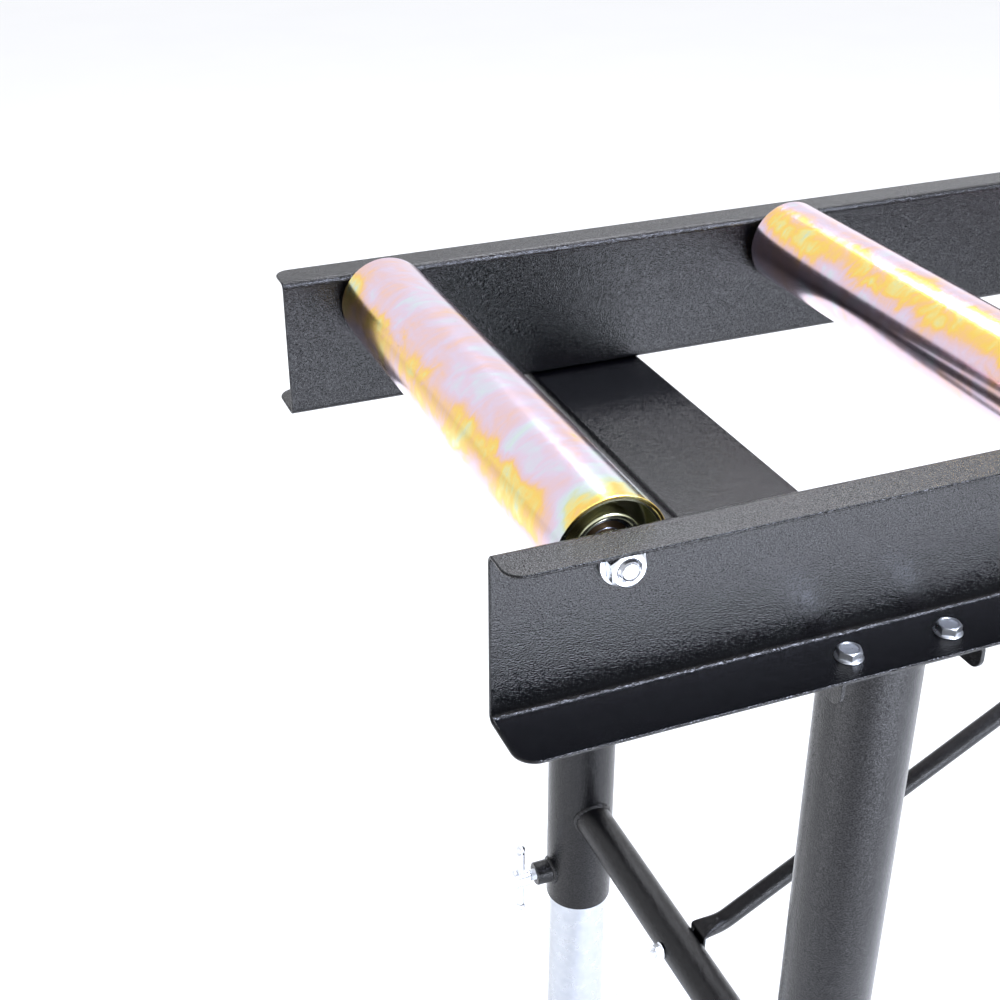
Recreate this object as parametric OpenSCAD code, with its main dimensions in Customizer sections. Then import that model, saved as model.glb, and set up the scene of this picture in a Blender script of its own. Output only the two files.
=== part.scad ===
// Roller outfeed table: two folded rails, seven rollers on fixed axles, telescopic legs.
// X runs along the table, Y across it and Z up. The origin is on the floor under its middle.

/* [Table] */
// Height of the roller tops above the floor as stored
working_h = 800; // [680:10:920]
// Clear width between the webs of the two rails
inner_w = 364; // [300:2:420]

/* [Rollers] */
// Outside diameter of a roller tube
roller_d = 60; // [52:1:70]
// Wall of a roller tube
roller_wall = 2; // [1.5:0.1:3]
// Distance from one roller axis to the next
roller_pitch = 308; // [280:1:340]
// Distance from a rail's end to the first roller axis
end_inset = 67; // [60:1:90]
// Height of the roller tops above the rails
roller_rise = 11.3; // [8:0.1:16]
// Gap between a roller's end and the rail's web
roller_gap = 7.5; // [5:0.5:12]

/* [End cups] */
// Sheet of the pressed end cup
cup_t = 1.2; // [0.8:0.1:1.6]
// Step from the tube's end in to the cup's rim
cup_set = 0.8; // [0.5:0.1:1.5]
// Step from the tube's end in to the mouth of the cup's neck
neck_set = 5.5; // [4:0.5:8]
// Radius of the rolled lip at the neck's mouth
lip_r = 0.8; // [0.7:0.05:0.9]
// Step from the neck's mouth in to the bearing
bearing_set = 1.5; // [1:0.1:3]
// Width of the shoulder that stops the bearing
cup_shoulder = 1.8; // [1:0.1:2.4]

/* [Bearings] */
// Bore of a bearing
bearing_bore = 12; // [11.5:0.1:13]
// Outside diameter of a bearing
bearing_od = 32; // [31:0.5:35]
// Width of a bearing
bearing_w = 10; // [9:0.5:12]
// Diameter of a bearing ball
ball_d = 5.9; // [5.6:0.1:6.2]
// Space between the inner and the outer ring
ring_space = 3.6; // [3.2:0.1:4]
// Play between a ball and its groove
race_gap = 0.05; // [0.03:0.01:0.08]

/* [Axles] */
// Diameter of the thread at an axle's end
stub_d = 11.9; // [8:0.1:11.9]
// Diameter of the axle between its bearings
axle_middle_d = 15; // [14:0.5:16]
// Length of thread that stands out of the nut
stub_out = 1.5; // [1:0.5:4]
// Bevel at the axle's ends
stub_bevel = 1; // [0.5:0.1:1.2]
// Play of the axle's thread in the rail's hole
stub_play = 0.25; // [0.15:0.05:0.4]
// Outside diameter of an axle spacer
spacer_d = 18; // [16:0.5:20]
// Outside diameter of an axle washer
washer_d = 24; // [21:0.5:24]
// Thickness of an axle washer
washer_t = 2.5; // [1.5:0.1:2.5]
// Width across the flats of an axle nut
axle_nut_af = 18; // [17:0.5:19]
// Height of an axle nut
axle_nut_h = 7; // [6:0.5:10]

/* [Rails] */
// Height of a rail
rail_h = 95; // [85:1:110]
// Sheet of a rail
rail_t = 2; // [1.5:0.1:3]
// Width of the top flange, web included
top_flange_w = 25.5; // [20:0.5:35]
// Width of the bottom flange, web included
bottom_flange_w = 40.2; // [39.4:0.2:50]
// Inside radius of a rail's bends
rail_bend_r = 1.2; // [0.6:0.1:2]
// Radius of the top flange's end corners
top_corner_r = 10; // [4:0.5:14]
// Radius of the bottom flange's end corners
bottom_corner_r = 12; // [4:0.5:20]

/* [Cross brackets] */
// Width of a cross bracket
bracket_w = 88; // [84:1:100]
// Sheet of a cross bracket
bracket_t = 2.5; // [2:0.1:3]
// Depth of a cross bracket with its down-flanges
bracket_depth = 17; // [17:0.5:24]
// Inside radius of a cross bracket's bends
bracket_bend_r = 1.5; // [0.8:0.1:2]
// Reach of a cross bracket past the web's inner face
bracket_reach = 37.5; // [35:0.5:39]
// Radius of the down-flanges' lower corners
bracket_corner_r = 8; // [4:0.5:12]
// Distance from a rail's end to the middle of the leg bracket
bracket_inset = 220; // [200:1:260]
// Distance between the two bolts along a rail
bolt_spacing = 61; // [61:1:68]
// Distance from the web's inner face out to the bolts
bolt_out = 22; // [22:0.2:26]

/* [Flange bolts and nuts] */
// Thread diameter of a flange bolt
bolt_d = 8; // [6:0.5:8.5]
// Length of a flange bolt under its head
bolt_len = 10; // [10:0.5:12]
// Width across the flats of the bolts and nuts
bolt_af = 12; // [11:0.5:13]
// Height of the hexagon of a bolt's head
bolt_hex_h = 4.2; // [4:0.2:7]
// Height of the hexagon of the low nuts under the rails
low_nut_hex_h = 3; // [2.6:0.2:3.2]
// Diameter of the flange of the bolts and nuts
bolt_flange_d = 15.5; // [15:0.5:17]
// Thickness of the flange of the bolts and nuts
bolt_flange_t = 1.4; // [1.2:0.1:2]
// Play of a bolt in its sheet hole
bolt_play = 0.5; // [0.3:0.1:0.8]

/* [Leg sleeves] */
// Outside diameter of a leg sleeve
sleeve_d = 56; // [54:0.5:57]
// Wall of a leg sleeve
sleeve_wall = 2.5; // [2:0.1:3]
// Length of a leg sleeve
sleeve_len = 500; // [490:5:530]
// Step from the leg bracket's middle to the leg's axis, towards the table's middle
leg_shift = 3.5; // [0:0.5:5]
// Distance from the web's inner face in to the leg's axis
leg_in = 2.5; // [2:0.5:6]

/* [Inner legs] */
// Length of an inner leg
leg_len = 520; // [500:5:530]
// Wall of an inner leg
leg_wall = 2; // [1.5:0.1:3]
// Gap all round between an inner leg and its sleeve
slide_gap = 0.5; // [0.3:0.05:0.8]
// Length of a foot plate along the table
foot_l = 120; // [110:2:140]
// Width of a foot plate
foot_w = 80; // [70:1:84]
// Thickness of a foot plate
foot_t = 6; // [4:0.5:8]
// Corner radius of a foot plate
foot_corner_r = 8; // [4:0.5:12]
// Diameter of an anchor hole
anchor_d = 11; // [9:0.5:13]
// Distance between the two anchor holes of a foot plate
anchor_spacing = 90; // [84:1:94]

/* [Cross tubes] */
// Outside diameter of a cross tube
cross_d = 30; // [26:0.5:34]
// Wall of a cross tube
cross_wall = 2; // [1.5:0.1:3]
// Depth of a cross tube's axis below the rails
cross_drop = 404; // [380:1:420]

/* [Braces] */
// Outside diameter of a brace
brace_d = 14.5; // [12:0.5:18]
// Wall of a brace
brace_wall = 1.5; // [1.2:0.1:2]
// Width of a brace's flattened tab
tab_w = 20; // [18:0.5:24]
// Height of a brace's flattened tab
tab_h = 16; // [15:0.5:18]
// Length over which a brace is pressed flat
press_len = 24; // [16:1:32]
// Depth of the upper brace bolt below the rails
tab_drop = 10; // [9.5:0.1:10.2]
// Thread diameter of a brace bolt
brace_bolt_d = 6; // [5:0.5:6]
// Width across the flats of the brace bolts and nuts
brace_bolt_af = 10; // [8:0.5:10]
// Height of the hexagon of the brace bolts and nuts
brace_hex_h = 4.5; // [4:0.1:5]
// Diameter of the flange of the brace bolts and nuts
brace_flange_d = 13; // [12:0.5:13]
// Thickness of the flange of the brace bolts and nuts
brace_flange_t = 1.2; // [1:0.1:1.6]
// Length of thread that stands out of a brace nut
brace_bolt_out = 3; // [1:0.5:5]

/* [Clamps] */
// Thread diameter of a clamp screw
clamp_d = 10; // [9:0.5:12]
// Height of a clamp's axis above the sleeve's lower end
clamp_up = 30; // [25:1:34]
// Outside diameter of a clamp boss
boss_d = 20; // [18:0.5:24]
// Length of a clamp boss out from the sleeve
boss_len = 14; // [10:0.5:18]
// Free thread between a clamp boss and the screw's head
clamp_free = 6; // [4:0.5:10]
// Diameter of a clamp screw's head
clamp_head_d = 16; // [14:0.5:20]
// Length of a clamp screw's head
clamp_head_len = 14; // [12:0.5:18]
// Diameter of a clamp screw's cross handle
handle_d = 8; // [6:0.5:9]
// Length of a clamp screw's cross handle
handle_len = 64; // [56:1:68]
// Diameter of a clamp pad
pad_d = 9; // [8:0.2:9.2]
// Thickness of a clamp pad
pad_t = 4; // [3:0.2:5]
// Gap between a clamp pad and the inner leg
pad_gap = 0.3; // [0.2:0.05:0.4]
// Diameter of a clamp pad's pin
pad_pin_d = 4; // [3:0.2:5]
// Length of a clamp pad's pin
pad_pin_len = 5; // [4:0.2:6]

/* [Fits] */
// Radial gap of a part that is pressed on or in
press_gap = 0.02; // [0.01:0.01:0.04]
// Radial gap of a thread in its nut, and of a turning pin in its bore
thread_gap = 0.05; // [0.03:0.01:0.08]
// End gap of a turning pin in its blind bore
pin_end_gap = 0.3; // [0.2:0.1:0.5]

/* [Hidden] */
$fn = 48;

// Number of rollers, and of balls in a bearing
roller_count = 7;
ball_count = 7;
// Overrun of a cut past the face that it opens
cut = 1;
// Thickness of the slices that a pressed end is blended between
slice_t = 0.4;
// Facets of those slices, and their step in from the tube's surface
press_fn = 32;
press_step = 0.2;

// Heights above the floor: underside of the rails, roller axes, cross tubes and clamps
rail_z = working_h - roller_rise - rail_h;
roller_z = working_h - roller_d / 2;
cross_z = rail_z - cross_drop;
sleeve_low_z = rail_z - bracket_t - sleeve_len;
clamp_z = sleeve_low_z + clamp_up;

// Places along and across the table
rail_len = 2 * end_inset + (roller_count - 1) * roller_pitch;
web_y = inner_w / 2;
bracket_x = rail_len / 2 - bracket_inset;
leg_x = bracket_x - leg_shift;
leg_y = web_y - leg_in;
bolt_y = web_y + bolt_out;

// Leg and clamp
sleeve_bore_d = sleeve_d - 2 * sleeve_wall;
leg_d = sleeve_bore_d - 2 * slide_gap;
pad_face = leg_d / 2 + pad_gap;
screw_tip = pad_face + pad_t;
boss_face = sleeve_d / 2 + boss_len;
head_face = boss_face + clamp_free;

// Roller, bearing and axle, measured from the web's inner face or from the tube's end
tube_bore_d = roller_d - 2 * roller_wall;
tube_len = inner_w - 2 * roller_gap;
neck_bore_r = bearing_od / 2 + press_gap;
bearing_start = neck_set + bearing_set;
bearing_end = bearing_start + bearing_w;
cup_end = bearing_end + cup_t;
ball_track_r = (bearing_bore + bearing_od) / 4;
seat_d = bearing_bore - 2 * press_gap;
stub_len = rail_t + washer_t + axle_nut_h + stub_out;
groove_r = ball_d / 2 + race_gap;

// Brace: tab plates face the cross tube's side and the centre bracket's down-flange
tab_t = 2 * brace_wall;
brace_low_x = -leg_x + cross_d / 2 + tab_t / 2;
brace_high_x = -bracket_w / 2 - tab_t / 2;
brace_high_z = rail_z - tab_drop;
brace_run = sqrt(pow(brace_high_x - brace_low_x, 2) + pow(brace_high_z - cross_z, 2));
brace_tilt = atan2(brace_high_z - cross_z, brace_high_x - brace_low_x);

black = [0.15, 0.15, 0.16];
yellow_zinc = [0.87, 0.74, 0.60];
white_zinc = [0.80, 0.81, 0.84];
bright_steel = [0.62, 0.63, 0.66];
brass = [0.76, 0.62, 0.30];

// Copies its child at every roller's axis
module at_rollers() {
    for (i = [1 : roller_count]) at_roller(i) children();
}

module at_roller(i) {
    translate([(i - (roller_count + 1) / 2) * roller_pitch, 0, roller_z]) children();
}

// Copies its child, which is drawn at the back rail's web, to both ends of an axle
module at_both_webs() {
    for (turn = [0, 180]) rotate([0, 0, turn]) translate([0, web_y, 0]) children();
}

// Moves its child, which is drawn for the back right corner, to any corner
module at_corner(right, back) {
    mirror([right ? 0 : 1, 0, 0]) mirror([0, back ? 0 : 1, 0]) children();
}

module at_corners() {
    for (right = [false, true], back = [false, true]) at_corner(right, back) children();
}

// Ring along Z
module ring(outer_d, bore_d, h) {
    difference() {
        cylinder(d = outer_d, h = h);
        translate([0, 0, -cut]) cylinder(d = bore_d, h = h + 2 * cut);
    }
}

// Rectangle from the origin, with its two corners at low X rounded
module channel_outline(w, h, r) {
    translate([r, 0]) square([w - r, h]);
    translate([0, r]) square([w, h - 2 * r]);
    for (y = [r, h - r]) translate([r, y]) circle(r = r);
}

// What a rounded corner cuts away: the arc's centre is the origin, the corner at plus X and Y
module corner_cut(r, h) {
    difference() {
        translate([0, 0, -cut]) cube([r + cut, r + cut, h + 2 * cut]);
        translate([0, 0, -2 * cut]) cylinder(r = r, h = h + 4 * cut);
    }
}

// Hexagon along Z, its edges bevelled at the top
module hexagon(af, h) {
    corner_d = af / cos(30);
    bevel = (corner_d - af) / 2;
    intersection() {
        cylinder(d = corner_d, h = h, $fn = 6);
        union() {
            cylinder(d = corner_d + bevel, h = h - bevel);
            translate([0, 0, h - bevel]) cylinder(d1 = corner_d + bevel, d2 = af - bevel, h = bevel);
        }
    }
}

// Flange bolt on Z: its shank points down from the origin
module flange_bolt(d, len, af, hex_h, flange_d, flange_t) {
    bevel = d / 8;
    cylinder(d = flange_d, h = flange_t);
    translate([0, 0, flange_t / 2]) hexagon(af, hex_h + flange_t / 2);
    translate([0, 0, bevel - len]) cylinder(d = d, h = len - bevel + flange_t / 2);
    translate([0, 0, -len]) cylinder(d1 = d - 2 * bevel, d2 = d, h = bevel);
}

// Flange nut on Z: its flange faces up at the origin
module flange_nut(d, af, hex_h, flange_d, flange_t) {
    height = hex_h + flange_t;
    difference() {
        union() {
            translate([0, 0, -flange_t]) cylinder(d = flange_d, h = flange_t);
            mirror([0, 0, 1]) translate([0, 0, flange_t / 2]) hexagon(af, height - flange_t / 2);
        }
        translate([0, 0, -height - cut]) cylinder(d = d + 2 * thread_gap, h = height + 2 * cut);
    }
}

// Turns a part on Z so that its head points at minus X
module facing_end() {
    rotate([0, -90, 0]) children();
}

// Back rail: a C open outwards, holed for the axles and the bracket bolts
module rail() {
    fold_r = rail_bend_r + rail_t;
    space_h = rail_h - 2 * rail_t;
    color(black) translate([0, web_y, rail_z]) difference() {
        rotate([90, 0, 90]) linear_extrude(rail_len, center = true) difference() {
            channel_outline(bottom_flange_w, rail_h, fold_r);
            translate([rail_t, rail_t]) channel_outline(bottom_flange_w, space_h, rail_bend_r);
            translate([top_flange_w, rail_h / 2]) square([bottom_flange_w, rail_h]);
        }
        for (side = [0, 1]) mirror([side, 0, 0]) {
            translate([rail_len / 2 - top_corner_r, top_flange_w - top_corner_r, rail_h - rail_t])
                corner_cut(top_corner_r, rail_t);
            translate([rail_len / 2 - bottom_corner_r, bottom_flange_w - bottom_corner_r, 0])
                corner_cut(bottom_corner_r, rail_t);
        }
        for (i = [1 : roller_count])
            translate([(i - (roller_count + 1) / 2) * roller_pitch, -cut, roller_z - rail_z])
                rotate([-90, 0, 0]) cylinder(d = stub_d + 2 * stub_play, h = rail_t + 2 * cut);
        for (x = [-bracket_x, 0, bracket_x], side = [-1, 1])
            translate([x + side * bolt_spacing / 2, bolt_out, -cut])
                cylinder(d = bolt_d + 2 * bolt_play, h = rail_t + 2 * cut);
    }
}

// Cross bracket under both rails, open downwards
module bracket(braced) {
    fold_r = bracket_bend_r + bracket_t;
    half_len = web_y + bracket_reach;
    color(black) translate([0, 0, rail_z]) difference() {
        rotate([90, 0, 0]) linear_extrude(2 * half_len, center = true) difference() {
            rotate(-90) translate([0, -bracket_w / 2])
                channel_outline(bracket_depth, bracket_w, fold_r);
            rotate(-90) translate([bracket_t, bracket_t - bracket_w / 2])
                channel_outline(bracket_depth, bracket_w - 2 * bracket_t, bracket_bend_r);
        }
        for (side = [0, 1]) mirror([0, side, 0])
            translate([-bracket_w / 2, half_len - bracket_corner_r, bracket_corner_r - bracket_depth])
                rotate([0, 90, 0]) corner_cut(bracket_corner_r, bracket_w);
        for (x = [-1, 1], y = [-1, 1])
            translate([x * bolt_spacing / 2, y * bolt_y, -bracket_t - cut])
                cylinder(d = bolt_d + 2 * bolt_play, h = bracket_t + 2 * cut);
        if (braced) translate([bracket_w / 2 + cut, 0, -tab_drop]) facing_end()
            cylinder(d = brace_bolt_d + 2 * bolt_play, h = bracket_w + 2 * cut);
    }
}

// Back right sleeve, holed for the clamp screw
module sleeve() {
    color(black) translate([leg_x, leg_y, 0]) difference() {
        translate([0, 0, sleeve_low_z]) ring(sleeve_d, sleeve_bore_d, sleeve_len);
        translate([0, 0, clamp_z]) rotate([0, 90, 0])
            cylinder(d = clamp_d + 2 * bolt_play, h = sleeve_d);
    }
}

// Right cross tube, shaped to both sleeves and drilled for the brace bolt
module cross_tube() {
    color(black) difference() {
        translate([leg_x, leg_y, cross_z]) rotate([90, 0, 0])
            ring(cross_d, cross_d - 2 * cross_wall, 2 * leg_y);
        for (side = [-1, 1]) translate([leg_x, side * leg_y, sleeve_low_z])
            cylinder(d = sleeve_d, h = sleeve_len);
        translate([leg_x + cross_d / 2 + cut, 0, cross_z]) facing_end()
            cylinder(d = brace_bolt_d + 2 * bolt_play, h = cross_d + 2 * cut);
    }
}

// Flattened, upright tab in the middle plane: its centre is the origin
module brace_tab() {
    difference() {
        translate([-tab_t / 2, -tab_w / 2, -tab_h / 2]) cube([tab_t, tab_w, tab_h]);
        translate([tab_t / 2 + cut, 0, 0]) facing_end()
            cylinder(d = brace_bolt_d + 2 * bolt_play, h = tab_t + 2 * cut);
    }
}

// Slice of the brace's tube, square to its axis and a given way along it
module brace_slice(along) {
    translate([brace_low_x, 0, cross_z]) rotate([0, 90 - brace_tilt, 0])
        translate([0, 0, along]) cylinder(d = brace_d - 2 * press_step, h = slice_t, $fn = press_fn);
}

// Edge of a tab: the tube is pressed flat towards it
module tab_edge(x, z) {
    translate([x - tab_t / 2, -tab_w / 2, z - slice_t / 2]) cube([tab_t, tab_w, slice_t]);
}

// Left brace, a tube from the cross tube's side up to the centre bracket's down-flange
module brace() {
    round_len = brace_run - 2 * press_len;
    color(black) {
        translate([brace_low_x, 0, cross_z]) rotate([0, 90 - brace_tilt, 0])
            translate([0, 0, press_len]) difference() {
                cylinder(d = brace_d, h = round_len);
                translate([0, 0, 2 * slice_t])
                    cylinder(d = brace_d - 2 * brace_wall, h = round_len - 4 * slice_t);
            }
        translate([brace_low_x, 0, cross_z]) brace_tab();
        translate([brace_high_x, 0, brace_high_z]) brace_tab();
        hull() {
            brace_slice(press_len);
            tab_edge(brace_low_x, cross_z + (tab_h - slice_t) / 2);
        }
        hull() {
            brace_slice(brace_run - press_len - slice_t);
            tab_edge(brace_high_x, brace_high_z - (tab_h - slice_t) / 2);
        }
    }
}

// Bolts through the rails' bottom flanges into the three cross brackets
module at_flange_bolts() {
    for (x = [-bracket_x, 0, bracket_x], side = [-1, 1], y = [-bolt_y, bolt_y])
        translate([x + side * bolt_spacing / 2, y, rail_z]) children();
}

module flange_bolts() {
    color(white_zinc) at_flange_bolts() translate([0, 0, rail_t])
        flange_bolt(bolt_d, bolt_len, bolt_af, bolt_hex_h, bolt_flange_d, bolt_flange_t);
}

// Brace bolt and its nut, on the left brace's side and its mirror image
module brace_bolt(len) {
    flange_bolt(brace_bolt_d, len, brace_bolt_af, brace_hex_h, brace_flange_d, brace_flange_t);
}

module brace_nut() {
    flange_nut(brace_bolt_d, brace_bolt_af, brace_hex_h, brace_flange_d, brace_flange_t);
}

module brace_bolts() {
    beyond = brace_hex_h + brace_flange_t + brace_bolt_out;
    color(white_zinc) for (side = [0, 1]) mirror([side, 0, 0]) {
        translate([brace_high_x - tab_t / 2, 0, brace_high_z]) facing_end()
            brace_bolt(tab_t + bracket_t + beyond);
        translate([brace_low_x + tab_t / 2, 0, cross_z]) mirror([1, 0, 0]) facing_end()
            brace_bolt(tab_t + cross_d + beyond);
    }
}

module flange_nuts() {
    color(white_zinc) {
        at_flange_bolts() translate([0, 0, -bracket_t])
            flange_nut(bolt_d, bolt_af, low_nut_hex_h, bolt_flange_d, bolt_flange_t);
        for (side = [0, 1]) mirror([side, 0, 0]) {
            translate([bracket_t - bracket_w / 2, 0, brace_high_z]) facing_end() brace_nut();
            translate([-leg_x - cross_d / 2, 0, cross_z]) mirror([1, 0, 0]) facing_end() brace_nut();
        }
    }
}

// Clamp parts are drawn out along X from the back right leg's axis
module at_clamp() {
    translate([leg_x, leg_y, clamp_z]) children();
}

module clamp_bosses() {
    color(black) at_corners() at_clamp() difference() {
        rotate([0, 90, 0]) cylinder(d = boss_d, h = boss_face);
        translate([0, 0, -boss_d]) cylinder(d = sleeve_d, h = 2 * boss_d);
        rotate([0, 90, 0]) cylinder(d = clamp_d + 2 * thread_gap, h = boss_face + cut);
    }
}

module clamp_screw() {
    color(white_zinc) at_clamp() {
        difference() {
            translate([screw_tip, 0, 0]) rotate([0, 90, 0])
                cylinder(d = clamp_d, h = head_face - screw_tip + cut);
            translate([screw_tip - cut, 0, 0]) rotate([0, 90, 0])
                cylinder(d = pad_pin_d + 2 * thread_gap, h = pad_pin_len + pin_end_gap + cut);
        }
        translate([head_face, 0, 0]) rotate([0, 90, 0]) cylinder(d = clamp_head_d, h = clamp_head_len);
        translate([head_face + clamp_head_len / 2, 0, 0]) {
            translate([0, 0, -handle_len / 2]) cylinder(d = handle_d, h = handle_len);
            for (end = [-1, 1]) translate([0, 0, end * handle_len / 2]) sphere(d = handle_d);
        }
    }
}

module clamp_pad() {
    color(brass) at_clamp() translate([pad_face, 0, 0]) rotate([0, 90, 0]) {
        cylinder(d = pad_d, h = pad_t);
        cylinder(d = pad_pin_d, h = pad_t + pad_pin_len);
    }
}

// Axle on Y through both rails
module axle() {
    middle_len = inner_w - 2 * (roller_gap + bearing_end);
    rotate([90, 0, 0]) {
        translate([0, 0, -middle_len / 2]) cylinder(d = axle_middle_d, h = middle_len);
        translate([0, 0, -inner_w / 2]) cylinder(d = seat_d, h = inner_w);
        for (side = [0, 1]) mirror([0, 0, side]) {
            cylinder(d = stub_d, h = inner_w / 2 + stub_len - stub_bevel);
            translate([0, 0, inner_w / 2 + stub_len - stub_bevel])
                cylinder(d1 = stub_d, d2 = stub_d - 2 * stub_bevel, h = stub_bevel);
        }
    }
}

module axles() {
    color(bright_steel) at_rollers() axle();
}

// Turns a part on Z so that it points out along Y, from the web's outer face
module out_of_web(gap) {
    translate([0, rail_t + gap, 0]) rotate([-90, 0, 0]) children();
}

module axle_nuts() {
    color(white_zinc) at_rollers() at_both_webs() out_of_web(washer_t) difference() {
        hexagon(axle_nut_af, axle_nut_h);
        translate([0, 0, -cut]) cylinder(d = stub_d + 2 * thread_gap, h = axle_nut_h + 2 * cut);
    }
}

module axle_washers() {
    color(white_zinc) at_rollers() at_both_webs() out_of_web(0)
        ring(washer_d, stub_d + 2 * stub_play, washer_t);
}

module axle_spacers() {
    color(bright_steel) at_rollers() at_both_webs() rotate([90, 0, 0])
        ring(spacer_d, bearing_bore, roller_gap + bearing_start);
}

// Places a part on Z at the bearing, its origin at the bearing's outer side
module at_bearings() {
    at_both_webs() translate([0, -roller_gap - bearing_start, 0]) rotate([90, 0, 0]) children();
}

// Bearing ring between two radii, with the groove for the balls
module race(inner_r, outer_r) {
    rotate_extrude() difference() {
        translate([inner_r, 0]) square([outer_r - inner_r, bearing_w]);
        translate([ball_track_r, bearing_w / 2]) circle(r = groove_r);
    }
}

module bearing_inner_rings() {
    color(bright_steel) at_rollers() at_bearings()
        race(bearing_bore / 2, ball_track_r - ring_space / 2);
}

module bearing_balls() {
    color(bright_steel) at_rollers() at_bearings() for (i = [1 : ball_count])
        rotate(i * 360 / ball_count) translate([ball_track_r, 0, bearing_w / 2]) sphere(d = ball_d);
}

module outer_rings(i) {
    color(bright_steel) at_roller(i) at_bearings()
        race(ball_track_r + ring_space / 2, bearing_od / 2);
}

module roller_tube(i) {
    color(yellow_zinc) at_roller(i) translate([0, tube_len / 2, 0]) rotate([90, 0, 0])
        ring(roller_d, tube_bore_d, tube_len);
}

// Pressed cups: rim wall, recessed web, shoulder, and a neck with a rolled lip round the bearing
module cups(i) {
    rim_r = tube_bore_d / 2 - press_gap;
    color(yellow_zinc) at_roller(i) at_both_webs() translate([0, -roller_gap, 0])
        rotate([90, 0, 0]) rotate_extrude() {
            translate([rim_r - cup_t, cup_set]) square([cup_t, cup_end - cup_set]);
            translate([neck_bore_r - cup_shoulder, bearing_end])
                square([rim_r - neck_bore_r + cup_shoulder, cup_t]);
            translate([neck_bore_r, neck_set]) square([cup_t, cup_end - neck_set]);
            translate([neck_bore_r + cup_t / 2, neck_set]) circle(r = lip_r);
        }
}

// Back right inner leg, standing on its foot plate
module inner_leg() {
    color(white_zinc) translate([leg_x, leg_y, foot_t]) ring(leg_d, leg_d - 2 * leg_wall, leg_len);
}

module foot_plate() {
    color(white_zinc) translate([leg_x, leg_y, 0]) linear_extrude(foot_t) difference() {
        union() {
            square([foot_l, foot_w - 2 * foot_corner_r], center = true);
            square([foot_l - 2 * foot_corner_r, foot_w], center = true);
            for (x = [-1, 1], y = [-1, 1])
                translate([x * (foot_l / 2 - foot_corner_r), y * (foot_w / 2 - foot_corner_r)])
                    circle(r = foot_corner_r);
        }
        for (x = [-1, 1]) translate([x * anchor_spacing / 2, 0]) circle(d = anchor_d);
    }
}

mirror([0, 1, 0]) rail();  // front_rail
rail();  // back_rail
translate([-bracket_x, 0, 0]) bracket(false);  // left_bracket
bracket(true);  // centre_bracket
translate([bracket_x, 0, 0]) bracket(false);  // right_bracket
at_corner(false, false) sleeve();  // sleeve_front_left
at_corner(false, true) sleeve();  // sleeve_back_left
at_corner(true, false) sleeve();  // sleeve_front_right
at_corner(true, true) sleeve();  // sleeve_back_right
mirror([1, 0, 0]) cross_tube();  // left_cross_tube
cross_tube();  // right_cross_tube
brace();  // left_brace
mirror([1, 0, 0]) brace();  // right_brace
flange_bolts();
brace_bolts();
flange_nuts();
clamp_bosses();
axles();
axle_nuts();
axle_washers();
axle_spacers();
bearing_inner_rings();
bearing_balls();
roller_tube(1);  // roller_1_tube
roller_tube(2);  // roller_2_tube
roller_tube(3);  // roller_3_tube
roller_tube(4);  // roller_4_tube
roller_tube(5);  // roller_5_tube
roller_tube(6);  // roller_6_tube
roller_tube(7);  // roller_7_tube
cups(1);  // roller_1_cups
cups(2);  // roller_2_cups
cups(3);  // roller_3_cups
cups(4);  // roller_4_cups
cups(5);  // roller_5_cups
cups(6);  // roller_6_cups
cups(7);  // roller_7_cups
outer_rings(1);  // roller_1_outer_rings
outer_rings(2);  // roller_2_outer_rings
outer_rings(3);  // roller_3_outer_rings
outer_rings(4);  // roller_4_outer_rings
outer_rings(5);  // roller_5_outer_rings
outer_rings(6);  // roller_6_outer_rings
outer_rings(7);  // roller_7_outer_rings
at_corner(false, false) inner_leg();  // leg_front_left
at_corner(false, true) inner_leg();  // leg_back_left
at_corner(true, false) inner_leg();  // leg_front_right
at_corner(true, true) inner_leg();  // leg_back_right
at_corner(false, false) foot_plate();  // foot_front_left
at_corner(false, true) foot_plate();  // foot_back_left
at_corner(true, false) foot_plate();  // foot_front_right
at_corner(true, true) foot_plate();  // foot_back_right
at_corner(false, false) clamp_screw();  // clamp_screw_front_left
at_corner(false, true) clamp_screw();  // clamp_screw_back_left
at_corner(true, false) clamp_screw();  // clamp_screw_front_right
at_corner(true, true) clamp_screw();  // clamp_screw_back_right
at_corner(false, false) clamp_pad();  // clamp_pad_front_left
at_corner(false, true) clamp_pad();  // clamp_pad_back_left
at_corner(true, false) clamp_pad();  // clamp_pad_front_right
at_corner(true, true) clamp_pad();  // clamp_pad_back_right
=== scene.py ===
"""Looks of a roller outfeed table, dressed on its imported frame.

Shapes are worked out in millimetres in the frame's axes: X along the table, Y across it and Z up.
Points are turned to metres when a piece is fitted. Angles that end in deg are degrees.
"""

import logging
import math
from dataclasses import dataclass
from enum import Enum
from functools import cached_property
from typing import ClassVar, Iterable, Sequence

import bmesh
import bpy
import numpy as np
from mathutils import Matrix, Vector
from mathutils.geometry import area_tri, delaunay_2d_cdt


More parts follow.
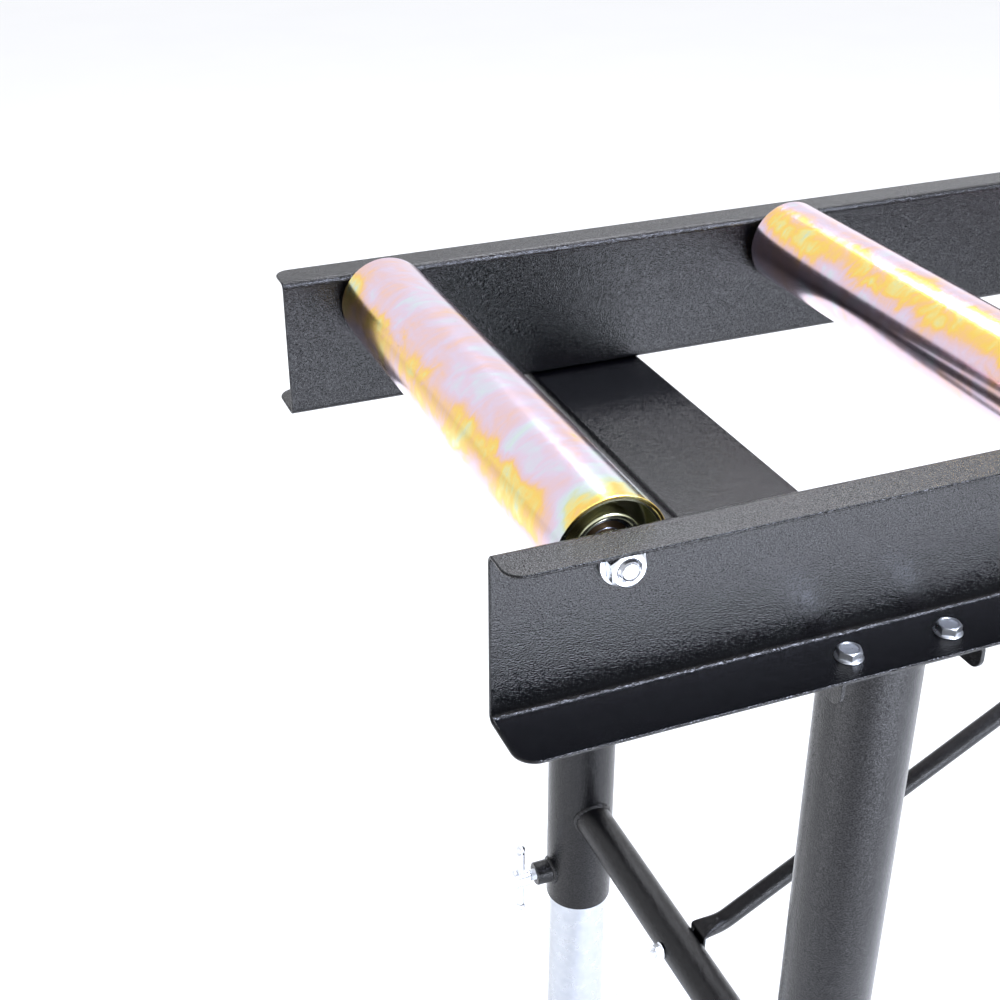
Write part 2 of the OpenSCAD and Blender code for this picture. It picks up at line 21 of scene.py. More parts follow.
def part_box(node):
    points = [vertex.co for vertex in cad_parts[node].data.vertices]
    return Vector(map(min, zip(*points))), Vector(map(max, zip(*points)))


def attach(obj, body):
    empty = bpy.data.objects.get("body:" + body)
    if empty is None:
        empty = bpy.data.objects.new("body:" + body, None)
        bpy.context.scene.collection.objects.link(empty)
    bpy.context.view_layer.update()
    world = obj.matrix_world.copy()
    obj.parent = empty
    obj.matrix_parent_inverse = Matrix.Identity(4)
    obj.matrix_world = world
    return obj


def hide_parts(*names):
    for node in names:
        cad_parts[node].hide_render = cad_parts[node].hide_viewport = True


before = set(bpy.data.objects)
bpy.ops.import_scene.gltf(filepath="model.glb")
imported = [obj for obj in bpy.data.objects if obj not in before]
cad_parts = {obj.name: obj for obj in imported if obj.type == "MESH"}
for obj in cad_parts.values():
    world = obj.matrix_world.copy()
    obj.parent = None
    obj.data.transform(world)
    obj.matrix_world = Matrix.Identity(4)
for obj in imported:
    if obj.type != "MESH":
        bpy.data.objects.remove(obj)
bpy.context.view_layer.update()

MM = 0.001
# Points closer than this, in millimetres, are one point
MERGE = 2e-4
POINT_ATTRIBUTE = "plating_point"
FACING = "facing"
ALONG, ACROSS, UP, DOWN = (1, 0, 0), (0, 1, 0), (0, 0, 1), (0, 0, -1)
BRACKETS = ("left", "centre", "right")
log = logging.getLogger("outfeed_table")

Flat = tuple[float, float]
Ring = Sequence[Sequence[float]]
Tree = bpy.types.NodeTree
Node = bpy.types.Node
Sockets = bpy.types.bpy_prop_collection
Mesh = bpy.types.Mesh


def colour(code: str) -> tuple[float, float, float, float]:
    """Turns an sRGB hex value, such as "#1a1b1e", to linear RGBA."""
    channels = [int(code[i : i + 2], 16) / 255 for i in (1, 3, 5)]
    red, green, blue = (c / 12.92 if c <= 0.04045 else ((c + 0.055) / 1.055) ** 2.4 for c in channels)
    return (red, green, blue, 1.0)


def per_metre(size_mm: float) -> float:
    """Gives a texture scale whose features are size_mm across on Object coordinates."""
    return 1 / (size_mm * MM)


def limits(to: Flat, given: Flat = (0.0, 1.0)) -> dict[str, float]:
    """Names the ends of a range that comes in and of the range that goes out."""
    return {"From Min": given[0], "From Max": given[1], "To Min": to[0], "To Max": to[1]}


def feed(tree: Tree, node: Node, inputs: dict) -> None:
    """Sets or links a node's inputs.

    Args:
        tree: Tree that holds the node.
        node: Node to feed.
        inputs: By input name or number: a value, a socket, or a node for its first open output.
    """
    for key, value in inputs.items():
        if isinstance(value, Node):
            value = next(socket for socket in value.outputs if socket.enabled)
        if isinstance(value, bpy.types.NodeSocket):
            tree.links.new(value, node.inputs[key])
        else:
            node.inputs[key].default_value = value


def add_node(tree: Tree, kind: str, inputs: dict | None = None, **settings: object) -> Node:
    """Adds a node with its settings and its links.

    Args:
        tree: Node tree that takes the node.
        kind: Type name of the node.
        inputs: What feeds the node.
        settings: Property values by name.

    Returns:
        The new node.
    """
    node = tree.nodes.new(kind)
    for name, value in settings.items():
        setattr(node, name, value)
    feed(tree, node, inputs or {})
    return node


@dataclass(frozen=True)
class Finish:
    """A surface finish, drawn once as a material."""

    name: str
    slot: str
    roughness: Flat
    bump_mm: float

    def material(self) -> bpy.types.Material:
        """Returns the finish's material, made at the first call."""
        made = bpy.data.materials.get(self.name)
        if made is None:
            made = bpy.data.materials.new(self.name)
            made.use_nodes = True
            tree = made.node_tree
            feed(tree, tree.nodes["Principled BSDF"], self.paint(tree))
        return made

    def paint(self, tree: Tree) -> dict:
        """Draws the finish and returns what feeds the shader; each kind of finish has its own."""
        raise NotImplementedError

    def skin(self, tree: Tree, tone: Node, cloud: Node, height: Node) -> dict:
        """Draws a gloss that follows a cloud and a bump.

        Args:
            tree: The material's tree.
            tone: Colour of the surface.
            cloud: Pattern of the gloss.
            height: Pattern of the bump.

        Returns:
            What feeds the shader.
        """
        gloss = add_node(tree, "ShaderNodeMapRange", {"Value": cloud, **limits(self.roughness)})
        bump = add_node(tree, "ShaderNodeBump", {
            "Strength": 1.0, "Distance": self.bump_mm * MM, "Height": height})
        return {"Base Color": tone, "Roughness": gloss, "Normal": bump}


@dataclass(frozen=True)
class PowderCoat(Finish):
    """Fine-texture polyester powder, baked: a pebbled satin black with specks in its highlights."""

    roughness: Flat = (0.13, 0.19)
    bump_mm: float = 0.26
    blacks: tuple[str, str] = ("#020204", "#040406")
    # Size in millimetres and detail of each pattern. Real pebbles are about 0.5 mm; they and their
    # specks are drawn wider so that the render shows them
    pebble: Flat = (0.7, 0.0)
    speck: Flat = (0.8, 1.0)
    ripple: Flat = (7.0, 1.0)
    cloud: Flat = (60.0, 3.0)
    ripple_share: float = 0.5
    # The hollows between the pebbles catch less light than their tops
    sheen: Flat = (0.22, 0.46)
    speck_span: Flat = (0.36, 0.64)
    ior: float = 1.5

    def paint(self, tree: Tree) -> dict:
        """Draws the black, its gloss and its pebbled skin."""
        place = add_node(tree, "ShaderNodeTexCoord").outputs["Object"]
        pebble, speck, ripple, cloud = (
            add_node(tree, "ShaderNodeTexNoise", {
                "Vector": place, "Scale": per_metre(size), "Detail": detail})
            for size, detail in (self.pebble, self.speck, self.ripple, self.cloud)
        )
        height = add_node(tree, "ShaderNodeMath", {0: ripple, 1: self.ripple_share, 2: pebble},
                          operation="MULTIPLY_ADD")
        tone = add_node(tree, "ShaderNodeMix", {
            "Factor": cloud, 6: colour(self.blacks[0]), 7: colour(self.blacks[1])}, data_type="RGBA")
        sheen = add_node(tree, "ShaderNodeMapRange", {
            "Value": speck, **limits(self.sheen, self.speck_span)})
        return {**self.skin(tree, tone, cloud, height), "Specular IOR Level": sheen, "IOR": self.ior}


@dataclass(frozen=True)
class ChromateZinc(Finish):
    """Yellow-chromated bright zinc on drawn tube: a thin film from gold through rose to pale green."""

    roughness: Flat = (0.13, 0.24)
    bump_mm: float = 0.05
    film: tuple[tuple[float, str], ...] = (
        (0.00, "#d0d8b4"),
        (0.09, "#e6d88c"),
        (0.20, "#f0cb68"),
        (0.29, "#eec185"),
        (0.38, "#e6c0b0"),
        (0.50, "#dfc2c8"),
        (0.64, "#dac8d8"),
        (0.77, "#d2d4dc"),
        (0.89, "#cddcd6"),
        (1.00, "#d0d8b4"),
    )
    # The chromate drains to one flank, which stays gold
    gold_deg: float = 163.0
    gold_level: float = 0.225
    gold_width: Flat = (0.3, 0.6)
    ragged: float = 0.36
    body_rise: float = 0.35
    # The tube hangs with its front end down in the bath, so the film thickens there
    rim_mm: float = 34.0
    rim_rise: float = 0.62
    # Size round and along the tube in millimetres, detail, roughness and distortion
    patch: tuple[float, ...] = (30.0, 34.0, 3.0, 0.55, 0.7)
    wisp: tuple[float, ...] = (34.0, 8.0, 4.0, 0.62, 0.5)
    # Shares of the patches and wisps in the film's thickness
    patch_share: float = 1.05
    wisp_share: float = 0.4
    wave_mm: float = 22.0
    speck_mm: float = 16.0
    speck_r_mm: float = 0.35
    speck_tint: str = "#5d5442"

    def paint(self, tree: Tree) -> dict:
        """Draws the film's colours in patches and wisps round the tube, and a few specks."""
        place = add_node(tree, "ShaderNodeAttribute", attribute_name=POINT_ATTRIBUTE).outputs["Vector"]
        noises = []
        for around, along, detail, rough, swirl in (self.patch, self.wisp):
            stretched = add_node(tree, "ShaderNodeMapping", {
                "Vector": place, "Scale": (per_metre(around), per_metre(along), per_metre(around))})
            noises.append(add_node(tree, "ShaderNodeTexNoise", {
                "Vector": stretched, "Scale": 1.0, "Detail": detail, "Roughness": rough,
                "Distortion": swirl}))
        patch, wisp = noises
        gold = math.radians(self.gold_deg)
        flank = add_node(tree, "ShaderNodeVectorMath", {
            0: place,
            1: (math.cos(gold) / Roller.radius / MM, 0.0, math.sin(gold) / Roller.radius / MM),
        }, operation="DOT_PRODUCT")
        away = add_node(tree, "ShaderNodeMath", {0: 1.0, 1: flank}, operation="SUBTRACT",
                        use_clamp=True)
        drained = add_node(tree, "ShaderNodeMath", {0: away}, operation="SQRT")
        ragged = add_node(tree, "ShaderNodeMath", {0: patch, 1: self.ragged, 2: drained},
                          operation="MULTIPLY_ADD")
        least = self.gold_level - (self.patch_share + self.wisp_share) / 2
        level = add_node(tree, "ShaderNodeMapRange", {
            "Value": ragged, **limits((least, least + self.body_rise), self.gold_width),
        }, interpolation_type="SMOOTHSTEP")
        across = add_node(tree, "ShaderNodeSeparateXYZ", {
            "Vector": add_node(tree, "ShaderNodeTexCoord").outputs["Object"]}).outputs["Y"]
        end = -Roller.half_length * MM
        rim = add_node(tree, "ShaderNodeMapRange", {
            "Value": across, **limits((0.0, self.rim_rise), (end + self.rim_mm * MM, end)),
        }, interpolation_type="SMOOTHSTEP")
        film = add_node(tree, "ShaderNodeMath", {0: level, 1: rim}, operation="ADD")
        for noise, share in ((patch, self.patch_share), (wisp, self.wisp_share)):
            film = add_node(tree, "ShaderNodeMath", {0: noise, 1: share, 2: film},
                            operation="MULTIPLY_ADD")
        turned = add_node(tree, "ShaderNodeMath", {0: film}, operation="FRACT")
        ramp = add_node(tree, "ShaderNodeValToRGB", {"Fac": turned})
        stops = ramp.color_ramp.elements
        while len(stops) < len(self.film):
            stops.new(0.5)
        for stop, (at, code) in zip(stops, self.film):
            stop.position = at
            stop.color = colour(code)
        cell = add_node(tree, "ShaderNodeTexVoronoi", {
            "Vector": place, "Scale": per_metre(self.speck_mm)})
        speck = add_node(tree, "ShaderNodeMath", {0: cell, 1: self.speck_r_mm / self.speck_mm},
                         operation="LESS_THAN")
        tone = add_node(tree, "ShaderNodeMix", {"Factor": speck, 6: ramp, 7: colour(self.speck_tint)},
                        data_type="RGBA")
        wave = add_node(tree, "ShaderNodeTexNoise", {
            "Vector": place, "Scale": per_metre(self.wave_mm), "Detail": 1.0})
        return {**self.skin(tree, tone, wisp, wave), "Metallic": 1.0}


@dataclass(frozen=True)
class PlainMetal(Finish):
    """A bare or clear-plated metal: one tint, fine cloudiness in its gloss and a fine grain."""

    tints: tuple[str, str]
    # Grain that is finer than a pixel is drawn as coarse as given here
    grain_mm: tuple[float, float, float]
    cloud_mm: float = 9.0

    def paint(self, tree: Tree) -> dict:
        """Draws the tint, the clouded gloss and the grain."""
        place = add_node(tree, "ShaderNodeTexCoord").outputs["Object"]
        stretched = add_node(tree, "ShaderNodeMapping", {
            "Vector": place, "Scale": tuple(per_metre(size) for size in self.grain_mm)})
        grain, cloud = (
            add_node(tree, "ShaderNodeTexNoise", {"Vector": source, "Scale": scale, "Detail": detail})
            for source, scale, detail in ((stretched, 1.0, 2.0), (place, per_metre(self.cloud_mm), 3.0))
        )
        tone = add_node(tree, "ShaderNodeMix", {
            "Factor": cloud, 6: colour(self.tints[0]), 7: colour(self.tints[1])}, data_type="RGBA")
        return {**self.skin(tree, tone, cloud, grain), "Metallic": 1.0}


EVEN_GRAIN = (0.5, 0.5, 0.5)
POWDER = PowderCoat("fine_texture_powder_coat", "powder_coat")
CHROMATE = ChromateZinc("yellow_chromated_zinc", "yellow_zinc")
# The same bath on the deep-drawn cups, where it dries paler, greener and duller
CUP_CHROMATE = ChromateZinc(
    "yellow_chromated_pressing", "yellow_zinc", (0.2, 0.3),
    film=((0.0, "#c2c3a2"), (0.3, "#dcdabb"), (0.6, "#e0cfb0"), (1.0, "#c2c3a2")))
# Barrel-plated bright zinc: bluish white, a little cloudy
ZINC = PlainMetal(
    "clear_bright_zinc", "white_zinc", (0.22, 0.36), 0.02, ("#eceff3", "#d5d9df"), EVEN_GRAIN)
# Drawn tube in the same zinc, with faint draw lines along it
DRAWN_ZINC = PlainMetal(
    "zinc_on_drawn_tube", "white_zinc", (0.22, 0.36), 0.02, ("#cfd3da", "#b4bac3"), (0.6, 0.6, 40.0))
# Ground chrome steel of bearings and axles
STEEL = PlainMetal(
    "ground_bearing_steel", "bearing_steel", (0.18, 0.28), 0.01, ("#b9bbc0", "#a2a4aa"), EVEN_GRAIN)
# Turned brass: warm, with soft tool marks
BRASS = PlainMetal("turned_brass", "brass", (0.2, 0.32), 0.02, ("#d2ac62", "#b98f48"), (0.4, 3.0, 3.0))
# Pressed bearing shields from the same bath, browner and duller than the cups; their tints are darkened
# further as painted shade of the recess deep in the cup's neck
SHIELD_PAINTED_SHADE = PlainMetal(
    "olive_plated_shield", "yellow_zinc", (0.4, 0.5), 0.02, ("#5c4a34", "#463a2a"), EVEN_GRAIN)


class Stock:
    """Points and faces gathered for one piece, in millimetres."""

    def __init__(self) -> None:
        """Starts an empty piece."""
        self.points: list[Vector] = []
        self.faces: list[tuple[int, ...]] = []

    def skin(self, rings: Sequence[Ring], place: Matrix = Matrix(), closed: bool = False) -> "Stock":
        """Skins a row of rings.

        Args:
            rings: Rings of points, all of one length, or of one point to close an end.
            place: Where the rings go.
            closed: True where the last ring joins the first.

        Returns:
            The piece itself.
        """
        starts = []
        for ring in rings:
            starts.append((len(self.points), len(ring)))
            self.points.extend(place @ Vector(point) for point in ring)
        pairs = list(zip(starts, starts[1:]))
        if closed:
            pairs.append((starts[-1], starts[0]))
        for (a, n), (b, m) in pairs:
            count = max(n, m)
            for i in range(count):
                j = (i + 1) % count
                corners = (a + i % n, a + j % n, b + j % m, b + i % m)
                self.faces.append(tuple(dict.fromkeys(corners)))
        return self

    def turn(self, profile: Sequence[Flat], place: Matrix = Matrix(), closed: bool = False,
             sides: int = 96) -> "Stock":
        """Turns a profile round Z.

        Args:
            profile: Points as radius and height; radius 0 is a pole.
            place: Where the turned part goes.
            closed: True where the profile is a closed outline.
            sides: Number of steps round.

        Returns:
            The piece itself.
        """
        steps = [math.tau * i / sides for i in range(sides)]
        rings = [
            [(r * math.cos(a), r * math.sin(a), z) for a in steps] if r > MERGE else [(0.0, 0.0, z)]
            for r, z in profile
        ]
        return self.skin(rings, place, closed)

    def add_mesh(self, mesh: Mesh) -> "Stock":
        """Takes in the points and faces of a mesh in millimetres, which is then removed."""
        start = len(self.points)
        self.points.extend(vertex.co.copy() for vertex in mesh.vertices)
        self.faces.extend(tuple(start + v for v in face.vertices) for face in mesh.polygons)
        bpy.data.meshes.remove(mesh)
        return self

    def mesh(self, name: str, scale: float = 1.0) -> Mesh:
        """Makes a mesh with its doubles merged and its faces pointing outwards.

        Args:
            name: Name of the mesh.
            scale: Factor on the points.

        Returns:
            The new mesh.
        """
        mesh = bpy.data.meshes.new(name)
        mesh.from_pydata([point * scale for point in self.points], [], self.faces)
        shape = bmesh.new()
        shape.from_mesh(mesh)
        bmesh.ops.remove_doubles(shape, verts=shape.verts, dist=MERGE * scale)
        bmesh.ops.recalc_face_normals(shape, faces=shape.faces)
        shape.to_mesh(mesh)
        shape.free()
        return mesh

    def fit(self, name: str, finish: Finish, body: str = "frame", replaces: Iterable[str] = (),
            sharp_deg: float = 28.0) -> bpy.types.Object:
        """Finishes the piece and fits it to a body of the frame.

        Args:
            name: Name of the piece.
            finish: Its surface finish.
            body: Body that carries it.
            replaces: CAD nodes that it stands for.
            sharp_deg: Least angle of an edge that stays sharp.

        Returns:
            The finished object.
        """
        mesh = self.mesh(name, MM)
        mesh.shade_smooth()
        mesh.set_sharp_from_angle(angle=math.radians(sharp_deg))
        mesh.materials.append(finish.material())
        piece = bpy.data.objects.new(name, mesh)
        bpy.context.scene.collection.objects.link(piece)
        piece.modifiers.new("even normals", "WEIGHTED_NORMAL").keep_sharp = True
        graph = bpy.context.evaluated_depsgraph_get()
        piece.data = bpy.data.meshes.new_from_object(piece.evaluated_get(graph), depsgraph=graph)
        piece.modifiers.clear()
        bpy.data.meshes.remove(mesh)
        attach(piece, body)
        if replaces:
            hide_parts(*replaces)
        log.info("%s rides on %s with %d faces", name, body, len(piece.data.polygons))
        return piece


def arc(centre: Flat, radius: float, start_deg: float, end_deg: float, steps: int) -> list[Flat]:
    """Gives the points of an arc, both ends included."""
    angles = np.radians(np.linspace(start_deg, end_deg, steps + 1))
    return [(centre[0] + radius * math.cos(a), centre[1] + radius * math.sin(a)) for a in angles]


def rounded(path: Sequence[Flat], radii: Sequence[float], steps: int) -> list[Flat]:
    """Rounds the inner corners of an open path.

    Args:
        path: Corner points.
        radii: Radius at each inner corner.
        steps: Points along each arc.

    Returns:
        The rounded path.
    """
    points = [np.array(p, float) for p in path]
    out = [points[0]]
    for before, corner, after, radius in zip(points, points[1:], points[2:], radii):
        a, b = ((end - corner) / np.linalg.norm(end - corner) for end in (before, after))
        half = math.acos(np.clip(a @ b, -1.0, 1.0)) / 2
        reach = radius / math.tan(half)
        centre = corner + (a + b) / np.linalg.norm(a + b) * radius / math.sin(half)
        first, last = corner + a * reach - centre, corner + b * reach - centre
        sweep = math.pi - 2 * half
        for t in np.linspace(0, 1, steps + 1):
            way = first * math.sin((1 - t) * sweep) + last * math.sin(t * sweep)
            out.append(centre + way / math.sin(sweep))
    out.append(points[-1])
    return [(float(p[0]), float(p[1])) for p in out]


def ribbon(path: Sequence[Flat], thickness: float) -> list[Flat]:
    """Gives the closed outline of a sheet whose middle follows a path."""
    points = np.array(path)
    along = np.gradient(points, axis=0)
    along /= np.linalg.norm(along, axis=1)[:, None]
    side = np.stack([-along[:, 1], along[:, 0]], 1) * thickness / 2
    loop = np.concatenate([points + side, (points - side)[::-1]])
    return [(float(x), float(y)) for x, y in loop]


def toward(axis: Sequence[float], origin: Sequence[float]) -> Matrix:
    """Gives the matrix that puts a part on Z at an origin, along an axis."""
    turn = Vector(axis).to_track_quat("Z", "Y").to_matrix().to_4x4()
    return Matrix.Translation(Vector(origin)) @ turn


def circle(count: int) -> list[Flat]:
    """Gives the cosine and sine of each step round a circle."""
    return [(math.cos(math.tau * i / count), math.sin(math.tau * i / count)) for i in range(count)]


class Box:
    """A CAD node's bounds at rest, in millimetres."""

    def __init__(self, node: str) -> None:
        """Reads the bounds."""
        low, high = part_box(node)
        self.low, self.high = np.array(low) / MM, np.array(high) / MM
        self.size, self.middle = self.high - self.low, (self.low + self.high) / 2


def bracket_middles() -> list[float]:
    """Gives the places of the three cross brackets along the table."""
    return [Box(f"{name}_bracket").middle[0] for name in BRACKETS]


@dataclass(frozen=True)
class FoldedSheet:
    """A flat-cut sheet part with straight quarter bends and rounded cut edges."""

    thickness: float
    flats: tuple[float, ...]
    bend_r: float = 1.2
    edge_r: float = 0.45
    bend_steps: ClassVar[int] = 8
    edge_steps: ClassVar[int] = 5
    corner_steps: ClassVar[int] = 10
    hole_sides: ClassVar[int] = 40
    # A sliver between points of one straight edge would span the folded section
    least_area: ClassVar[float] = 1e-5
    cut_merge: ClassVar[float] = 1e-7

    @property
    def middle_r(self) -> float:
        """Radius of the sheet's middle in a bend."""
        return self.bend_r + self.thickness / 2

    @property
    def bend_len(self) -> float:
        """Length of the sheet's middle in a bend."""
        return self.middle_r * math.pi / 2

    @property
    def reach(self) -> float:
        """Length of the flat pattern across its bends."""
        return sum(self.flats) + self.bend_len * (len(self.flats) - 1)

    def start_of(self, flat: int) -> float:
        """Gives where a flat starts on the pattern."""
        return sum(self.flats[:flat]) + flat * self.bend_len

    def folded(self, s: float, height: float) -> np.ndarray:
        """Gives where a point of the flat pattern lands in the section.

        Args:
            s: Place along the pattern.
            height: Height over the sheet's middle, towards the inside of the bends.

        Returns:
            The point in the section's plane.
        """
        at, heading, left = np.zeros(2), np.array((1.0, 0.0)), np.array((0.0, 1.0))
        for flat in self.flats[:-1]:
            if s <= flat:
                break
            at, s = at + heading * flat, s - flat
            if s <= self.bend_len:
                turn = s / self.middle_r
                out = heading * math.sin(turn) - left * math.cos(turn)
                return at + left * self.middle_r + out * (self.middle_r - height)
            at, s = at + (heading + left) * self.middle_r, s - self.bend_len
            heading, left = left, -heading
        return at + heading * s + left * height

    def outline(self, length: float, corners: Flat) -> tuple[np.ndarray, list[tuple[int, int]]]:
        """Draws the pattern's outline and its bend lines.

        Args:
            length: Length along the bends.
            corners: Corner radius at the pattern's start and at its end.

        Returns:
            The outline's points, and pairs of them that a bend line joins.
        """
        half, (first, last), steps = length / 2, corners, self.corner_steps
        lines = [
            self.start_of(flat) - self.bend_len * (1 - k / self.bend_steps)
            for flat in range(1, len(self.flats)) for k in range(self.bend_steps + 1)
        ]
        loop = arc((first - half, first), first, 180, 270, steps)
        loop += arc((half - first, first), first, 270, 360, steps)
        right = len(loop)
        loop += [(half, s) for s in lines]
        loop += arc((half - last, self.reach - last), last, 0, 90, steps)
        loop += arc((last - half, self.reach - last), last, 90, 180, steps)
        left = len(loop) + len(lines) - 1
        loop += [(-half, s) for s in reversed(lines)]
        return np.array(loop), [(right + i, left - i) for i in range(len(lines))]

    def cut(self, length: float, corners: Flat, holes: Sequence[tuple[float, float, float]],
            origin: Sequence[float], axes: Sequence[Sequence[float]]) -> Stock:
        """Cuts, edges and folds the sheet.

        Args:
            length: Length along the bends.
            corners: Corner radius at the pattern's start and at its end.
            holes: Holes as place along the bends, place on the pattern and diameter.
            origin: Middle of the pattern's starting edge.
            axes: Directions along the bends, of the first flat, and to the inside of the bends.

        Returns:
            The sheet as a new piece.
        """
        stock = Stock()
        outline, pairs = self.outline(length, corners)
        loops = [outline] + [
            np.array(arc((u, s), diameter / 2, 360, 0, self.hole_sides)[:-1])
            for u, s, diameter in holes
        ]
        edge = [(x - self.edge_r, self.thickness / 2 - self.edge_r + y)
                for y, x in arc((0.0, 0.0), self.edge_r, 0, 90, self.edge_steps)]
        edge += [(d, -h) for d, h in reversed(edge)]
        origin, axes = np.array(origin), np.array(axes)
        upper: list[int] = []
        lower: list[int] = []
        inset: list[Vector] = []
        rims: list[np.ndarray] = []
        links: list[tuple[int, int]] = []
        for loop in loops:
            tangent = np.roll(loop, -1, axis=0) - np.roll(loop, 1, axis=0)
            tangent /= np.linalg.norm(tangent, axis=1)[:, None]
            outward = np.stack([tangent[:, 1], -tangent[:, 0]], 1)
            start, count, base = len(stock.points), len(loop), len(inset)
            stock.skin([
                [origin + np.array((u, *self.folded(float(s), h))) @ axes
                 for u, s in loop + outward * d]
                for d, h in edge
            ])
            rims.append(loop - outward * self.edge_r)
            inset += [Vector(point) for point in rims[-1]]
            links += [(base + i, base + (i + 1) % count) for i in range(count)]
            upper += range(start, start + count)
            lower += range(len(stock.points) - count, len(stock.points))
        points, _, faces, sources, _, _ = delaunay_2d_cdt(
            inset, links + pairs, [], 0, self.cut_merge, True)
        for face in faces:
            middle = sum((points[v] for v in face), Vector((0.0, 0.0))) / len(face)
            sliver = area_tri(*(points[v] for v in face)) < self.least_area
            if not sliver and sum(crossings(rim, middle) for rim in rims) % 2:
                corners_in = [sources[v][0] for v in face]
                stock.faces.append(tuple(upper[c] for c in corners_in))
                stock.faces.append(tuple(lower[c] for c in reversed(corners_in)))
        return stock


def crossings(loop: np.ndarray, point: Vector) -> int:
    """Counts how often a ray from a point along plus X crosses a loop."""
    a, b = loop, np.roll(loop, -1, axis=0)
    between = (a[:, 1] > point.y) != (b[:, 1] > point.y)
    rise = np.where(between, b[:, 1] - a[:, 1], 1.0)
    x = a[:, 0] + (point.y - a[:, 1]) / rise * (b[:, 0] - a[:, 0])
    return int(np.count_nonzero(between & (x > point.x)))


class Recipe:
    """A Geometry Nodes tree with named inputs, built once and run on points or edges."""

    title = ""
    sockets: dict[str, str] = {}

    @cached_property
    def tree(self) -> Tree:
        """The tree, which ends in Realize Instances and Set Material."""
        tree = bpy.data.node_groups.new(self.title, "GeometryNodeTree")
        tree.interface.new_socket("Geometry", in_out="OUTPUT", socket_type="NodeSocketGeometry")
        for label, kind in {"Geometry": "Geometry", **self.sockets, "Finish": "Material"}.items():
            tree.interface.new_socket(label, in_out="INPUT", socket_type=f"NodeSocket{kind}")
        given = add_node(tree, "NodeGroupInput").outputs
        real = add_node(tree, "GeometryNodeRealizeInstances", {"Geometry": self.grow(tree, given)})
        dressed = add_node(tree, "GeometryNodeSetMaterial", {
            "Geometry": real, "Material": given["Finish"]})
        add_node(tree, "NodeGroupOutput", {"Geometry": dressed})
        return tree

    def grow(self, tree: Tree, given: Sockets) -> Node:
        """Adds the recipe's own nodes to its tree and returns the last one."""
        raise NotImplementedError

    @staticmethod
    def on_points(tree: Tree, given: Sockets, part: Node | bpy.types.NodeSocket,
                  turn: Node | None = None) -> Node:
        """Copies a part on Z to each host point, along the point's facing.

        Args:
            tree: The recipe's tree.
            given: The tree's inputs.
            part: Geometry to copy.
            turn: Angle about the part's own axis.

        Returns:
            The node that makes the instances.
        """
        facing = add_node(tree, "GeometryNodeInputNamedAttribute", {"Name": FACING},
                          data_type="FLOAT_VECTOR")
        aimed = add_node(tree, "FunctionNodeAlignRotationToVector", {"Vector": facing}, axis="Z")
        if turn is not None:
            spin = add_node(tree, "FunctionNodeAxisAngleToRotation", {"Axis": UP, "Angle": turn})
            aimed = add_node(tree, "FunctionNodeRotateRotation", {
                "Rotation": aimed, "Rotate By": spin}, rotation_space="LOCAL")
        return add_node(tree, "GeometryNodeInstanceOnPoints", {
            "Points": given["Geometry"], "Instance": part, "Rotation": aimed})

    def run(self, points: Sequence, facings: Sequence, finish: Finish, values: dict[str, object],
            loop: bool = False) -> Mesh:
        """Runs the tree on a host mesh of points.

        Args:
            points: Places in millimetres.
            facings: Direction at each place.
            finish: Surface finish.
            values: Values by input name.
            loop: True where the places are joined in a closed loop.

        Returns:
            The resulting mesh, with its modifier applied.
        """
        count = len(points)
        host = bpy.data.meshes.new("host")
        edges = [(i, (i + 1) % count) for i in range(count)] if loop else []
        host.from_pydata([tuple(p) for p in points], edges, [])
        aims = host.attributes.new(FACING, "FLOAT_VECTOR", "POINT")
        aims.data.foreach_set("vector", np.array(facings, np.float32).ravel())
        stand = bpy.data.objects.new(self.title, host)
        modifier = stand.modifiers.new(self.title, "NODES")
        modifier.node_group = self.tree
        values = {**values, "Finish": finish.material()}
        for item in self.tree.interface.items_tree:
            if item.in_out == "INPUT" and item.name in values:
                value, kind = values[item.name], self.sockets.get(item.name)
                modifier[item.identifier] = float(value) if kind == "Float" else value
        bpy.context.scene.collection.objects.link(stand)
        graph = bpy.context.evaluated_depsgraph_get()
        mesh = bpy.data.meshes.new_from_object(stand.evaluated_get(graph), depsgraph=graph)
        bpy.data.objects.remove(stand)
        bpy.data.meshes.remove(host)
        return mesh


